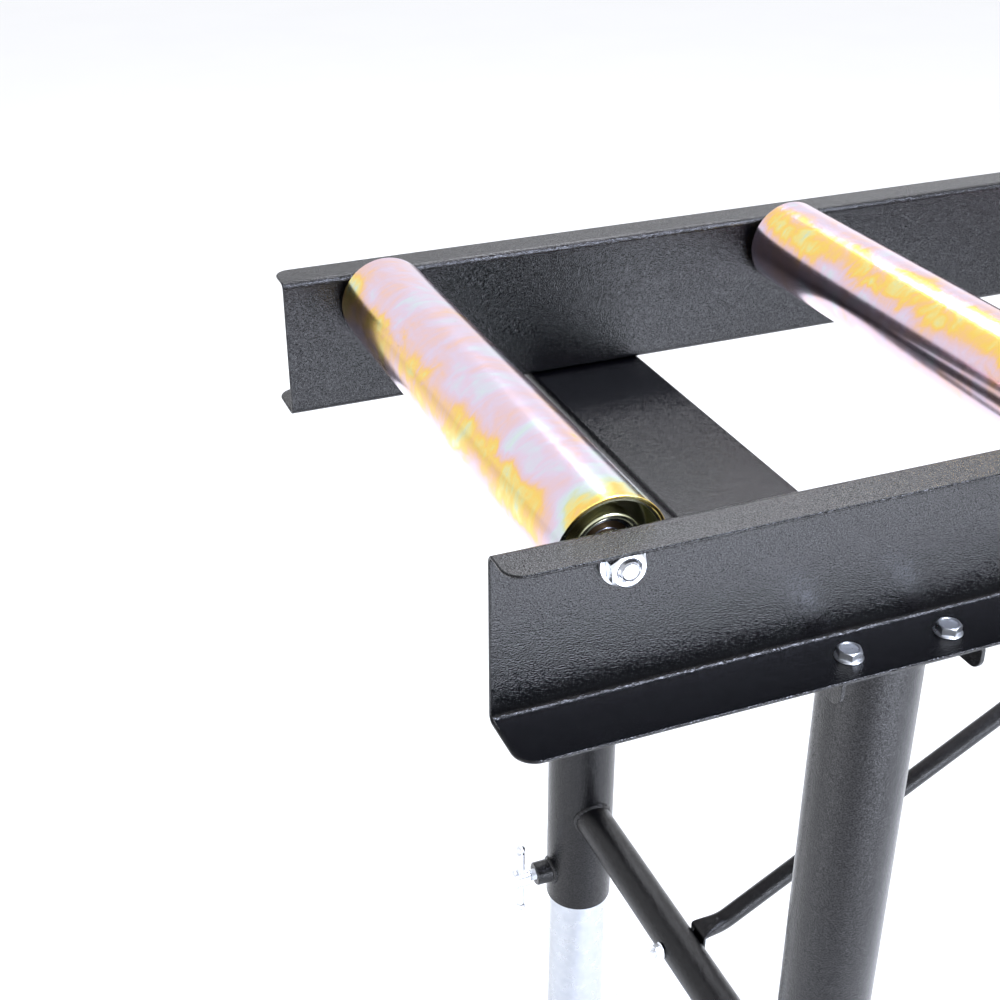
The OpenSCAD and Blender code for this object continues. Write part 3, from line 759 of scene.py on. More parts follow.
class RingRecipe(Recipe):
    """Tubes, washers and spacers: a rounded rectangle swept round Z, from its lower face up."""

    title = "turned rings"
    sockets = {"Outer Diameter": "Float", "Bore": "Float", "Length": "Float", "Edge Radius": "Float",
               "Sides": "Int"}
    edge_points = 3

    def grow(self, tree: Tree, given: Sockets) -> Node:
        """Sweeps the wall's section round a circle."""
        halved = []
        for how, source, other, share in (
            ("SUBTRACT", "Outer Diameter", given["Bore"], 1 / 2),
            ("ADD", "Outer Diameter", given["Bore"], 1 / 4),
            ("ADD", "Length", 0.0, 1 / 2),
        ):
            whole = add_node(tree, "ShaderNodeMath", {0: given[source], 1: other}, operation=how)
            halved.append(add_node(tree, "ShaderNodeMath", {0: whole, 1: share}, operation="MULTIPLY"))
        wall, middle, lift = halved
        section = add_node(tree, "GeometryNodeCurvePrimitiveQuadrilateral", {
            "Width": wall, "Height": given["Length"]})
        eased = add_node(tree, "GeometryNodeFilletCurve", {
            "Curve": section, "Count": self.edge_points, "Radius": given["Edge Radius"]}, mode="POLY")
        round_z = add_node(tree, "GeometryNodeCurvePrimitiveCircle", {
            "Resolution": given["Sides"], "Radius": middle}, mode="RADIUS")
        swept = add_node(tree, "GeometryNodeCurveToMesh", {"Curve": round_z, "Profile Curve": eased})
        shift = add_node(tree, "ShaderNodeCombineXYZ", {"Z": lift})
        lifted = add_node(tree, "GeometryNodeTransform", {"Geometry": swept, "Translation": shift})
        return self.on_points(tree, given, lifted)

    def make(self, points: Sequence, facings: Sequence, sizes: tuple[float, float, float],
             edge: float, finish: Finish, sides: int = 64) -> Mesh:
        """Makes rings at points.

        Args:
            points: Middle of each ring's lower face.
            facings: Direction of each ring's axis.
            sizes: Outer diameter, bore and length.
            edge: Radius of the edges.
            finish: Surface finish.
            sides: Steps round.

        Returns:
            The rings as one mesh.
        """
        return self.run(points, facings, finish, {
            "Outer Diameter": sizes[0], "Bore": sizes[1], "Length": sizes[2], "Edge Radius": edge,
            "Sides": sides})


class CopyRecipe(Recipe):
    """Fasteners: one part copied to points, each at its own turn."""

    title = "fasteners on points"
    sockets = {"Part": "Object", "Most Turn": "Float", "Seed": "Int"}

    def grow(self, tree: Tree, given: Sockets) -> Node:
        """Copies the part to the host's points."""
        part = add_node(tree, "GeometryNodeObjectInfo", {"Object": given["Part"]})
        turn = add_node(tree, "FunctionNodeRandomValue", {
            2: 0.0, 3: given["Most Turn"], "Seed": given["Seed"]}, data_type="FLOAT")
        return self.on_points(tree, given, part.outputs["Geometry"], turn)

    def make(self, part: Stock, points: Sequence, facings: Sequence, seed: int) -> Mesh:
        """Copies a zinc-plated part to points.

        Args:
            part: The part, on Z.
            points: Places of the copies.
            facings: Direction of each copy's axis.
            seed: Seed of the copies' turns.

        Returns:
            The copies as one mesh.
        """
        spare = part.mesh("master")
        master = bpy.data.objects.new("master", spare)
        bpy.context.scene.collection.objects.link(master)
        mesh = self.run(points, facings, ZINC, {"Part": master, "Most Turn": math.tau, "Seed": seed})
        bpy.data.objects.remove(master)
        bpy.data.meshes.remove(spare)
        return mesh


class ThreadRecipe(Recipe):
    """Screw threads: a ridge wound up a core, copied to points."""

    title = "screw threads"
    sockets = {"Core Radius": "Float", "Depth": "Float", "Turns": "Float", "Length": "Float",
               "Steps": "Int"}
    # Height of the ridge as a share of the pitch, and steps in one turn
    depth_share = 0.5
    steps = 28
    ridge_sides = 4

    def grow(self, tree: Tree, given: Sockets) -> Node:
        """Winds the ridge and copies it."""
        helix = add_node(tree, "GeometryNodeCurveSpiral", {
            "Resolution": given["Steps"], "Rotations": given["Turns"], "Height": given["Length"],
            "Start Radius": given["Core Radius"], "End Radius": given["Core Radius"]})
        upright = add_node(tree, "GeometryNodeSetCurveNormal", {"Curve": helix}, mode="Z_UP")
        ridge = add_node(tree, "GeometryNodeCurvePrimitiveCircle", {
            "Resolution": self.ridge_sides, "Radius": given["Depth"]}, mode="RADIUS")
        swept = add_node(tree, "GeometryNodeCurveToMesh", {
            "Curve": upright, "Profile Curve": ridge, "Fill Caps": True})
        return self.on_points(tree, given, swept)

    def make(self, points: Sequence, facings: Sequence, diameter: float, pitch: float,
             length: float, finish: Finish) -> Mesh:
        """Winds threads from points along their facings.

        Args:
            points: Start of each thread on its axis.
            facings: Direction of each axis.
            diameter: Diameter over the crests.
            pitch: Rise in one turn.
            length: Length of thread.
            finish: Surface finish.

        Returns:
            The threads as one mesh.
        """
        depth = self.depth_share * pitch
        return self.run(points, facings, finish, {
            "Core Radius": diameter / 2 - depth, "Depth": depth, "Turns": length / pitch,
            "Length": length, "Steps": self.steps})


class SeamRecipe(Recipe):
    """Weld beads: overlapping ripples laid along a seam."""

    title = "weld ripples"
    sockets = {"Ripple Pitch": "Float", "Bead Width": "Float", "Unevenness": "Float", "Seed": "Int"}
    # Shares of the bead's width: half a ripple's width, its height and the step to the next one
    half, high, pitch = 0.5, 0.36, 0.36
    # Half a ripple's length as a share of the step
    overlap = 1.5
    uneven = 0.1
    drop_sides = (12, 7)

    def grow(self, tree: Tree, given: Sockets) -> Node:
        """Lays a flattened ripple at each step of the seam."""
        line = add_node(tree, "GeometryNodeMeshToCurve", {"Mesh": given["Geometry"]})
        steps = add_node(tree, "GeometryNodeResampleCurve", {
            "Curve": line, "Length": given["Ripple Pitch"]}, mode="LENGTH")
        along = add_node(tree, "FunctionNodeAlignRotationToVector", {
            "Vector": add_node(tree, "GeometryNodeInputTangent")}, axis="X")
        facing = add_node(tree, "GeometryNodeInputNamedAttribute", {"Name": FACING},
                          data_type="FLOAT_VECTOR")
        aimed = add_node(tree, "FunctionNodeAlignRotationToVector", {
            "Rotation": along, "Vector": facing}, axis="Z", pivot_axis="X")
        least, most = (
            add_node(tree, "ShaderNodeMath", {0: 1.0, 1: given["Unevenness"]}, operation=how)
            for how in ("SUBTRACT", "ADD")
        )
        vary = add_node(tree, "FunctionNodeRandomValue", {2: least, 3: most, "Seed": given["Seed"]},
                        data_type="FLOAT")
        wide = add_node(tree, "ShaderNodeMath", {0: given["Bead Width"], 1: vary}, operation="MULTIPLY")
        long, half, high = (
            add_node(tree, "ShaderNodeMath", {0: source, 1: share}, operation="MULTIPLY")
            for source, share in (
                (given["Ripple Pitch"], self.overlap), (wide, self.half), (wide, self.high))
        )
        size = add_node(tree, "ShaderNodeCombineXYZ", {"X": long, "Y": half, "Z": high})
        drop = add_node(tree, "GeometryNodeMeshUVSphere", {
            "Segments": self.drop_sides[0], "Rings": self.drop_sides[1], "Radius": 1.0})
        return add_node(tree, "GeometryNodeInstanceOnPoints", {
            "Points": steps, "Instance": drop, "Rotation": aimed, "Scale": size})

    def make(self, points: Sequence, facings: Sequence, width: float, seed: int) -> Mesh:
        """Lays a powder-coated bead along a closed seam.

        Args:
            points: Points of the seam.
            facings: Direction out of the bead at each point.
            width: Width of the bead.
            seed: Seed of the ripples' sizes.

        Returns:
            The bead's ripples as one mesh.
        """
        return self.run(points, facings, POWDER, {
            "Ripple Pitch": width * self.pitch, "Bead Width": width, "Unevenness": self.uneven,
            "Seed": seed}, loop=True)


RINGS, COPIES, THREADS, SEAMS = RingRecipe(), CopyRecipe(), ThreadRecipe(), SeamRecipe()


class Side(Enum):
    """Side of the table: the value is its direction along Y."""

    FRONT = -1
    BACK = 1


class End(Enum):
    """End of the table: the value is its direction along X."""

    LEFT = -1
    RIGHT = 1


@dataclass(frozen=True)
class HexPart:
    """A hexagon nut or a flange bolt head, on Z with its bearing face at zero."""

    across: float
    height: float
    flange_d: float = 0.0
    flange_edge: float = 0.8
    flange_slope_deg: float = 20.0
    chamfer_deg: float = 30.0
    chamfer_share: float = 0.95
    sides: int = 72
    # The flange's eased lower edge and upper edge: how far in, and how far from the face
    lower_ease: Flat = (0.3, 0.25)
    upper_ease: Flat = (0.25, 0.2)
    # Play of a nut's bore, and size of its countersinks
    bore_gap: float = 0.05
    sink: float = 0.7
    # The dish on a bolt's head, as steps inwards and down, and its depth in the middle
    dish: tuple[Flat, ...] = ((0.5, 0.0), (1.1, 0.35))
    dish_depth: float = 0.5
    # Bevel of a bolt's tip, and where its core widens under the head
    tip: float = 0.6
    neck: Flat = (0.4, 0.2)
    # Where a bolt's thread starts over its tip, and what it lacks of the length, in turns
    thread_turns: Flat = (0.7, 1.5)

    def ring(self, radius: float | None, height: float, tilt: float = 0.0) -> list[tuple]:
        """Gives one ring of points.

        Args:
            radius: Radius of a round ring, or None for one on the hexagon.
            height: Height at the chamfer's circle.
            tilt: Rise of the height for each step of radius outwards.

        Returns:
            The ring's points.
        """
        out = []
        for i, (c, s) in enumerate(circle(self.sides)):
            sector = (math.tau * i / self.sides + math.pi / 6) % (math.pi / 3) - math.pi / 6
            r = self.across / 2 / math.cos(sector) if radius is None else radius
            out.append((r * c, r * s, height + tilt * (r - self.chamfer_r)))
        return out

    @property
    def chamfer_r(self) -> float:
        """Radius of the circle where the chamfer meets the end face."""
        return self.across / 2 * self.chamfer_share

    def upper(self) -> list[list[tuple]]:
        """Gives the rings from the bearing face's edge up to the top face's edge."""
        slope = math.tan(math.radians(self.chamfer_deg))
        top = [self.ring(None, self.height, -slope), self.ring(self.chamfer_r, self.height)]
        if not self.flange_d:
            return [self.ring(self.chamfer_r, 0.0), self.ring(None, 0.0, slope)] + top
        r = self.flange_d / 2
        fall = math.tan(math.radians(self.flange_slope_deg))
        (foot_in, foot_up), (rim_in, rim_down) = self.lower_ease, self.upper_ease
        return [self.ring(r - foot_in, 0.0), self.ring(r, foot_up),
                self.ring(r, self.flange_edge - rim_down), self.ring(r - rim_in, self.flange_edge),
                self.ring(None, self.flange_edge + (r - self.chamfer_r) * fall, -fall)] + top

    def nut(self, thread_d: float) -> Stock:
        """Makes a nut with countersunk bore."""
        bore = thread_d / 2 + self.bore_gap
        steps = ((self.sink, 0.0), (0.0, self.sink))
        rings = [self.ring(bore + out, self.height - deep) for out, deep in steps]
        rings += [self.ring(bore + out, deep) for out, deep in reversed(steps)]
        return Stock().skin(self.upper() + rings, closed=True)

    def bolt(self, thread_d: float, pitch: float, length: float) -> Stock:
        """Makes a bolt with a dished head, its shank down from zero.

        Args:
            thread_d: Thread diameter.
            pitch: Thread pitch.
            length: Length under the head.

        Returns:
            The bolt.
        """
        core = thread_d / 2 - THREADS.depth_share * pitch
        shank = [(core - self.tip, -length), (core, self.tip - length), (core, -self.neck[0]),
                 (thread_d / 2, -self.neck[1]), (thread_d / 2, 0.0)]
        head = [(self.chamfer_r - into, self.height - deep) for into, deep in self.dish]
        stock = Stock().skin([
            [(0.0, 0.0, -length)], *(self.ring(r, z) for r, z in shank), *self.upper(),
            *(self.ring(r, z) for r, z in head), [(0.0, 0.0, self.height - self.dish_depth)]])
        start, less = (turns * pitch for turns in self.thread_turns)
        return stock.add_mesh(THREADS.make(
            [(0, 0, start - length)], [UP], thread_d, pitch, length - less, ZINC))


@dataclass(frozen=True)
class Rail:
    """Folded C rail, open outwards, with rounded flange corners."""

    side: Side
    thickness: float = 2.0
    # The coat fills the inside of the bends
    bend_r: float = 2.8
    edge_r: float = 0.9
    top_set_back: float = 14.7
    top_corner_r: float = 10.0
    bottom_corner_r: float = 12.0
    axle_hole: float = 12.4
    bolt_hole: float = 9.0
    bolt_out: float = 22.0
    bolt_spacing: float = 61.0

    def build(self) -> None:
        """Folds the rail, with its axle holes and bolt holes."""
        node = f"{self.side.name.lower()}_rail"
        box = Box(node)
        length, width, height = box.size
        bend = self.bend_r + self.thickness
        flats = (width - bend, height - 2 * bend, width - self.top_set_back - bend)
        sheet = FoldedSheet(self.thickness, flats, self.bend_r, self.edge_r)
        web = sheet.start_of(1) - box.low[2] - bend
        axes = [Roller(i).axis for i in range(1, Roller.count + 1)]
        holes = [(x, web + z, self.axle_hole) for x, z in axes]
        holes += [
            (x + step * self.bolt_spacing / 2, width - self.bolt_out, self.bolt_hole)
            for x in bracket_middles() for step in (-1, 1)
        ]
        tip_y = box.high[1] if self.side is Side.BACK else box.low[1]
        sheet.cut(
            length, (self.bottom_corner_r, self.top_corner_r), holes,
            (0, tip_y, box.low[2] + self.thickness / 2), (ALONG, (0, -self.side.value, 0), UP),
        ).fit(f"{node}_sheet", POWDER, "frame", [node])


@dataclass(frozen=True)
class CrossBracket:
    """Folded plate under both rails, with rounded ends on its down-flanges."""

    name: str
    thickness: float = 2.5
    bend_r: float = 1.5
    corner_r: float = 8.0

    def build(self) -> None:
        """Folds the bracket, with its bolt holes."""
        node = f"{self.name}_bracket"
        box = Box(node)
        width, length, depth = box.size
        bend = self.bend_r + self.thickness
        sheet = FoldedSheet(self.thickness, (depth - bend, width - 2 * bend, depth - bend), self.bend_r)
        bolt_y = Box("back_rail").low[1] + Rail.bolt_out
        middle = sheet.start_of(1) + width / 2 - bend
        holes = [
            (y * bolt_y, middle + x * Rail.bolt_spacing / 2, Rail.bolt_hole)
            for x in (-1, 1) for y in (-1, 1)
        ]
        sheet.cut(
            length, (self.corner_r, self.corner_r), holes,
            (box.low[0] + self.thickness / 2, 0, box.low[2]), (ACROSS, UP, ALONG),
        ).fit(f"{node}_sheet", POWDER, "frame", [node])


@dataclass(frozen=True)
class Roller:
    """Plated tube with pressed end cups and shielded bearings."""

    number: int
    count: ClassVar[int] = 7
    radius: float = 30.0
    half_length: float = 174.5
    wall: float = 2.0
    tube_edge: float = 0.5
    tube_sides: int = 144
    cup_t: float = 1.2
    cup_set: float = 0.8
    cup_fillets: Flat = (3.0, 2.2)
    fillet_steps: int = 8
    neck_set: float = 5.5
    neck_r: float = 16.62
    lip_r: float = 1.8
    lip_steps: int = 14
    # Ring round the bearing, from inside the neck to into it
    shoulder: Flat = (-1.8, 0.4)
    bearing_set: float = 7.0
    bearing_w: float = 10.0
    shield: tuple[float, float, float] = (25.5, 18.5, 0.8)
    shield_edge: float = 0.2
    shield_out: float = 0.5
    # Turns of the plating's pattern at rest, so that no two rollers look alike
    turns_deg: tuple[int, ...] = (0, 38, 200, 95, 310, 150, 260)

    @property
    def axis(self) -> Flat:
        """The roller's axis as its place along the table and its height."""
        middle = Box(f"roller_{self.number}_tube").middle
        return middle[0], middle[2]

    def build(self) -> None:
        """Builds the tube, the cups and the shields."""
        body, (x, z) = f"roller_{self.number}", self.axis
        half = self.half_length
        sizes = (2 * self.radius, 2 * (self.radius - self.wall), 2 * half)
        tube = Stock().add_mesh(RINGS.make(
            [(x, -half, z)], [ACROSS], sizes, self.tube_edge, CHROMATE, self.tube_sides))
        self.plate(tube.fit(f"{body}_plated_tube", CHROMATE, body, [f"{body}_tube"]))
        cups, shield_at, shield_facing = Stock(), [], []
        for side in Side:
            inward = (0, -side.value, 0)
            self.press_cup(cups, toward(inward, (x, side.value * half, z)))
            shield_at.append((x, side.value * (half - self.bearing_set - self.shield_out), z))
            shield_facing.append(inward)
        self.plate(cups.fit(f"{body}_pressed_cups", CUP_CHROMATE, body, [f"{body}_cups"]))
        # The shields' dark olive tint is partly painted shade of the neck's recess
        shields = RINGS.make(shield_at, shield_facing, self.shield, self.shield_edge, SHIELD_PAINTED_SHADE)
        Stock().add_mesh(shields).fit(f"{body}_shields", SHIELD_PAINTED_SHADE, body)

    def press_cup(self, stock: Stock, place: Matrix) -> None:
        """Presses one cup: rim wall, filleted recess, and a neck with a rolled lip."""
        rim_r, half_t = self.radius - self.wall - self.cup_t / 2, self.cup_t / 2
        floor = self.bearing_set + self.bearing_w + half_t
        path = [(rim_r, self.cup_set), (rim_r, floor), (self.neck_r, floor),
                (self.neck_r, self.neck_set)]
        wall = ribbon(rounded(path, self.cup_fillets, self.fillet_steps), self.cup_t)
        lip = arc((self.neck_r, self.neck_set), self.lip_r, 0, 360, self.lip_steps)[:-1]
        inner, outer = (self.neck_r - half_t + reach for reach in self.shoulder)
        shoulder = [(inner, floor - half_t), (outer, floor - half_t), (outer, floor + half_t),
                    (inner, floor + half_t)]
        for profile in (wall, lip, shoulder):
            stock.turn(profile, place, closed=True)

    def plate(self, piece: bpy.types.Object) -> None:
        """Stores each point's place on the roller, which the plating's pattern follows."""
        x, z = self.axis
        turn = Matrix.Rotation(-math.radians(self.turns_deg[self.number - 1]), 4, "Y")
        # Each roller takes another stretch of the pattern, two lengths further on
        along = self.number * 4 * self.half_length * MM
        centred = Matrix.Translation((-x * MM, 0.0, -z * MM))
        place = Matrix.Translation((0.0, along, 0.0)) @ turn @ centred
        attribute = piece.data.attributes.new(POINT_ATTRIBUTE, "FLOAT_VECTOR", "POINT")
        for vertex, stored in zip(piece.data.vertices, attribute.data):
            stored.vector = place @ vertex.co


@dataclass(frozen=True)
class Axles:
    """Fixed axles with their spacers, washers and nuts."""

    stub_d: float = 11.9
    pitch: float = 1.75
    seat_d: float = 11.96
    middle_d: float = 15.0
    bevel: float = 1.0
    shaft_sides: int = 64
    # Run-out behind the thread, and the end's rounded bevel: how far in, and how far from the end
    run_out: float = 0.5
    tip: tuple[Flat, ...] = ((0.0, 0.75), (0.75, 0.3), (1.0, 0.0))
    # Where the thread starts behind the bevel, and its length, in turns
    thread_turns: Flat = (3.0, 3.2)
    spacer_d: float = 18.0
    spacer_bore: float = 12.0
    spacer_edge: float = 0.4
    washer_d: float = 24.0
    washer_bore: float = 12.4
    washer_t: float = 2.5
    washer_edge: float = 0.35
    nut: HexPart = HexPart(18.0, 7.0)
    nut_seed: int = 5

    def build(self) -> None:
        """Builds the four kinds of parts for every roller."""
        web_y, end_y = Box("back_rail").low[1], Box("axles").high[1]
        out_y = web_y + Rail.thickness
        spacer_len = web_y - Box("roller_1_tube").high[1] + Roller.bearing_set
        middle = web_y - spacer_len - Roller.bearing_w
        stub, core = self.stub_d / 2, self.stub_d / 2 - self.pitch / 2
        half = [(self.middle_d / 2, 0.0), (self.middle_d / 2, middle), (self.seat_d / 2, middle),
                (self.seat_d / 2, web_y), (stub, web_y), (stub, out_y), (core, out_y + self.run_out)]
        half += [(core - into, end_y - back) for into, back in self.tip] + [(0.0, end_y)]
        profile = [(r, -y) for r, y in reversed(half)] + half[1:]
        shafts = Stock()
        axes = [Roller(i).axis for i in range(1, Roller.count + 1)]
        for x, z in axes:
            shafts.turn(profile, toward(ACROSS, (x, 0, z)), sides=self.shaft_sides)
        thread_y = end_y - self.bevel - self.thread_turns[0] * self.pitch
        facings = [(0, side.value, 0) for _ in axes for side in Side]
        threads, spacers, washers, nuts = (
            [(x, side.value * y, z) for x, z in axes for side in Side]
            for y in (thread_y, web_y - spacer_len, out_y, out_y + self.washer_t)
        )
        shafts.add_mesh(THREADS.make(
            threads, facings, self.stub_d, self.pitch, self.thread_turns[1] * self.pitch, STEEL))
        shafts.fit("axle_shafts", STEEL, "frame", ["axles"])
        for places, sizes, edge, finish, name, node in (
            (spacers, (self.spacer_d, self.spacer_bore, spacer_len), self.spacer_edge, STEEL,
             "turned_spacers", "axle_spacers"),
            (washers, (self.washer_d, self.washer_bore, self.washer_t), self.washer_edge, ZINC,
             "plated_washers", "axle_washers"),
        ):
            Stock().add_mesh(RINGS.make(places, facings, sizes, edge, finish)).fit(
                name, finish, "frame", [node])
        hexes = COPIES.make(self.nut.nut(self.stub_d), nuts, facings, self.nut_seed)
        Stock().add_mesh(hexes).fit("plated_axle_nuts", ZINC, "frame", ["axle_nuts"])


@dataclass(frozen=True)
class BraceJoints:
    """Places of the left brace's tabs, which the right brace mirrors."""

    tab_t: float = 3.0
    tab_h: float = 16.0

    @property
    def low(self) -> Flat:
        """Middle of the tab on the cross tube, as X and Z."""
        corner = Box("left_brace").low
        return corner[0] + self.tab_t / 2, corner[2] + self.tab_h / 2

    @property
    def high(self) -> Flat:
        """Middle of the tab on the centre bracket, as X and Z."""
        corner = Box("left_brace").high
        return corner[0] - self.tab_t / 2, corner[2] - self.tab_h / 2


@dataclass(frozen=True)
class Fasteners:
    """Flange bolts and nuts of the rails, the brackets and the braces."""

    head: HexPart = HexPart(12.0, 5.6, 15.5)
    low_nut: HexPart = HexPart(12.0, 4.4, 15.5)
    bolt_d: float = 8.0
    bolt_pitch: float = 1.25
    bolt_len: float = 10.0
    brace_head: HexPart = HexPart(10.0, 5.7, 13.0, 0.6)
    brace_bolt_d: float = 6.0
    brace_pitch: float = 1.0
    brace_out: float = 3.0
    # Seeds of the turns of bolts and nuts, and of those at the braces' lower and upper ends
    seeds: tuple[int, int] = (11, 12)
    brace_seeds: tuple[int, int] = (21, 31)

    def build(self) -> None:
        """Builds the bolts and nuts."""
        low = Box("back_rail").low
        places = [
            (x + step * Rail.bolt_spacing / 2, side.value * (low[1] + Rail.bolt_out))
            for x in bracket_middles() for step in (-1, 1) for side in Side
        ]
        tops = [(x, y, low[2] + Rail.thickness) for x, y in places]
        under = [(x, y, low[2] - CrossBracket.thickness) for x, y in places]
        bolt = self.head.bolt(self.bolt_d, self.bolt_pitch, self.bolt_len)
        bolts = Stock().add_mesh(COPIES.make(bolt, tops, [UP] * len(tops), self.seeds[0]))
        nut = self.low_nut.nut(self.bolt_d)
        nuts = Stock().add_mesh(COPIES.make(nut, under, [DOWN] * len(under), self.seeds[1]))
        brace_bolts = Stock()
        self.join_braces(brace_bolts, nuts)
        for kind, stock in (
            ("flange_bolts", bolts), ("flange_nuts", nuts), ("brace_bolts", brace_bolts),
        ):
            stock.fit(f"plated_{kind}", ZINC, "frame", [kind])

    def join_braces(self, bolts: Stock, nuts: Stock) -> None:
        """Adds the bolts and nuts at both ends of both braces."""
        joints = BraceJoints()
        spare = self.brace_head.height + self.brace_out
        nut = self.brace_head.nut(self.brace_bolt_d)
        held = (Box("left_cross_tube").size[0], CrossBracket.thickness)
        ends = zip((joints.low, joints.high), (1, -1), held, self.brace_seeds)
        for (x, z), out, behind, seed in ends:
            grip = joints.tab_t + behind
            bolt = self.brace_head.bolt(self.brace_bolt_d, self.brace_pitch, grip + spare)
            face = x + out * joints.tab_t / 2
            heads = [(-end.value * face, 0, z) for end in End]
            feet = [(-end.value * (face - out * grip), 0, z) for end in End]
            outward = [(-end.value * out, 0, 0) for end in End]
            inward = [(end.value * out, 0, 0) for end in End]
            bolts.add_mesh(COPIES.make(bolt, heads, outward, seed))
            nuts.add_mesh(COPIES.make(nut, feet, inward, seed + 1))


@dataclass(frozen=True)
class Saddle:
    """Where a round branch meets an upright post."""

    post: Flat
    post_r: float
    axis: tuple[float, float, float]
    height: float
    sides: int = 64

    @property
    def side(self) -> Vector:
        """Level direction across the branch."""
        return Vector((-self.axis[1], self.axis[0], 0.0))

    def ring(self, radius: float, reach: float | None = None) -> list[Vector]:
        """Gives a ring of the branch.

        Args:
            radius: Radius on the branch.
            reach: Distance from the post's axis, or None on the post's surface.

        Returns:
            The ring's points.
        """
        out = []
        for c, s in circle(self.sides):
            off = radius * c
            along = math.sqrt(self.post_r**2 - off**2) if reach is None else reach
            start = Vector((*self.post, self.height + radius * s))
            out.append(start + Vector(self.axis) * along + self.side * off)
        return out

    def seam(self, radius: float) -> tuple[list[Vector], list[Vector]]:
        """Gives the weld's points along the joint and the way out at each."""
        points = self.ring(radius)
        out = []
        for point, (c, s) in zip(points, circle(self.sides)):
            branch = self.side * c + Vector((0, 0, s))
            post = (point.xy - Vector(self.post)).to_3d() / self.post_r
            out.append((branch + post).normalized())
        return points, out


@dataclass(frozen=True)
class Corner:
    """One corner of the table with its leg axis."""

    side: Side
    end: End

    @property
    def name(self) -> str:
        """The corner's name in the frame."""
        return f"{self.side.name.lower()}_{self.end.name.lower()}"

    @property
    def axis(self) -> Flat:
        """The leg's axis as X and Y."""
        return tuple(Box(f"sleeve_{self.name}").middle[:2])

    @property
    def outward(self) -> tuple[float, float, float]:
        """Direction in which the clamp points."""
        return (float(self.end.value), 0.0, 0.0)

    @property
    def clamp_z(self) -> float:
        """Height of the clamp's axis."""
        return Box(f"clamp_pad_{self.name}").middle[2]


CORNERS = [Corner(side, end) for end in End for side in Side]


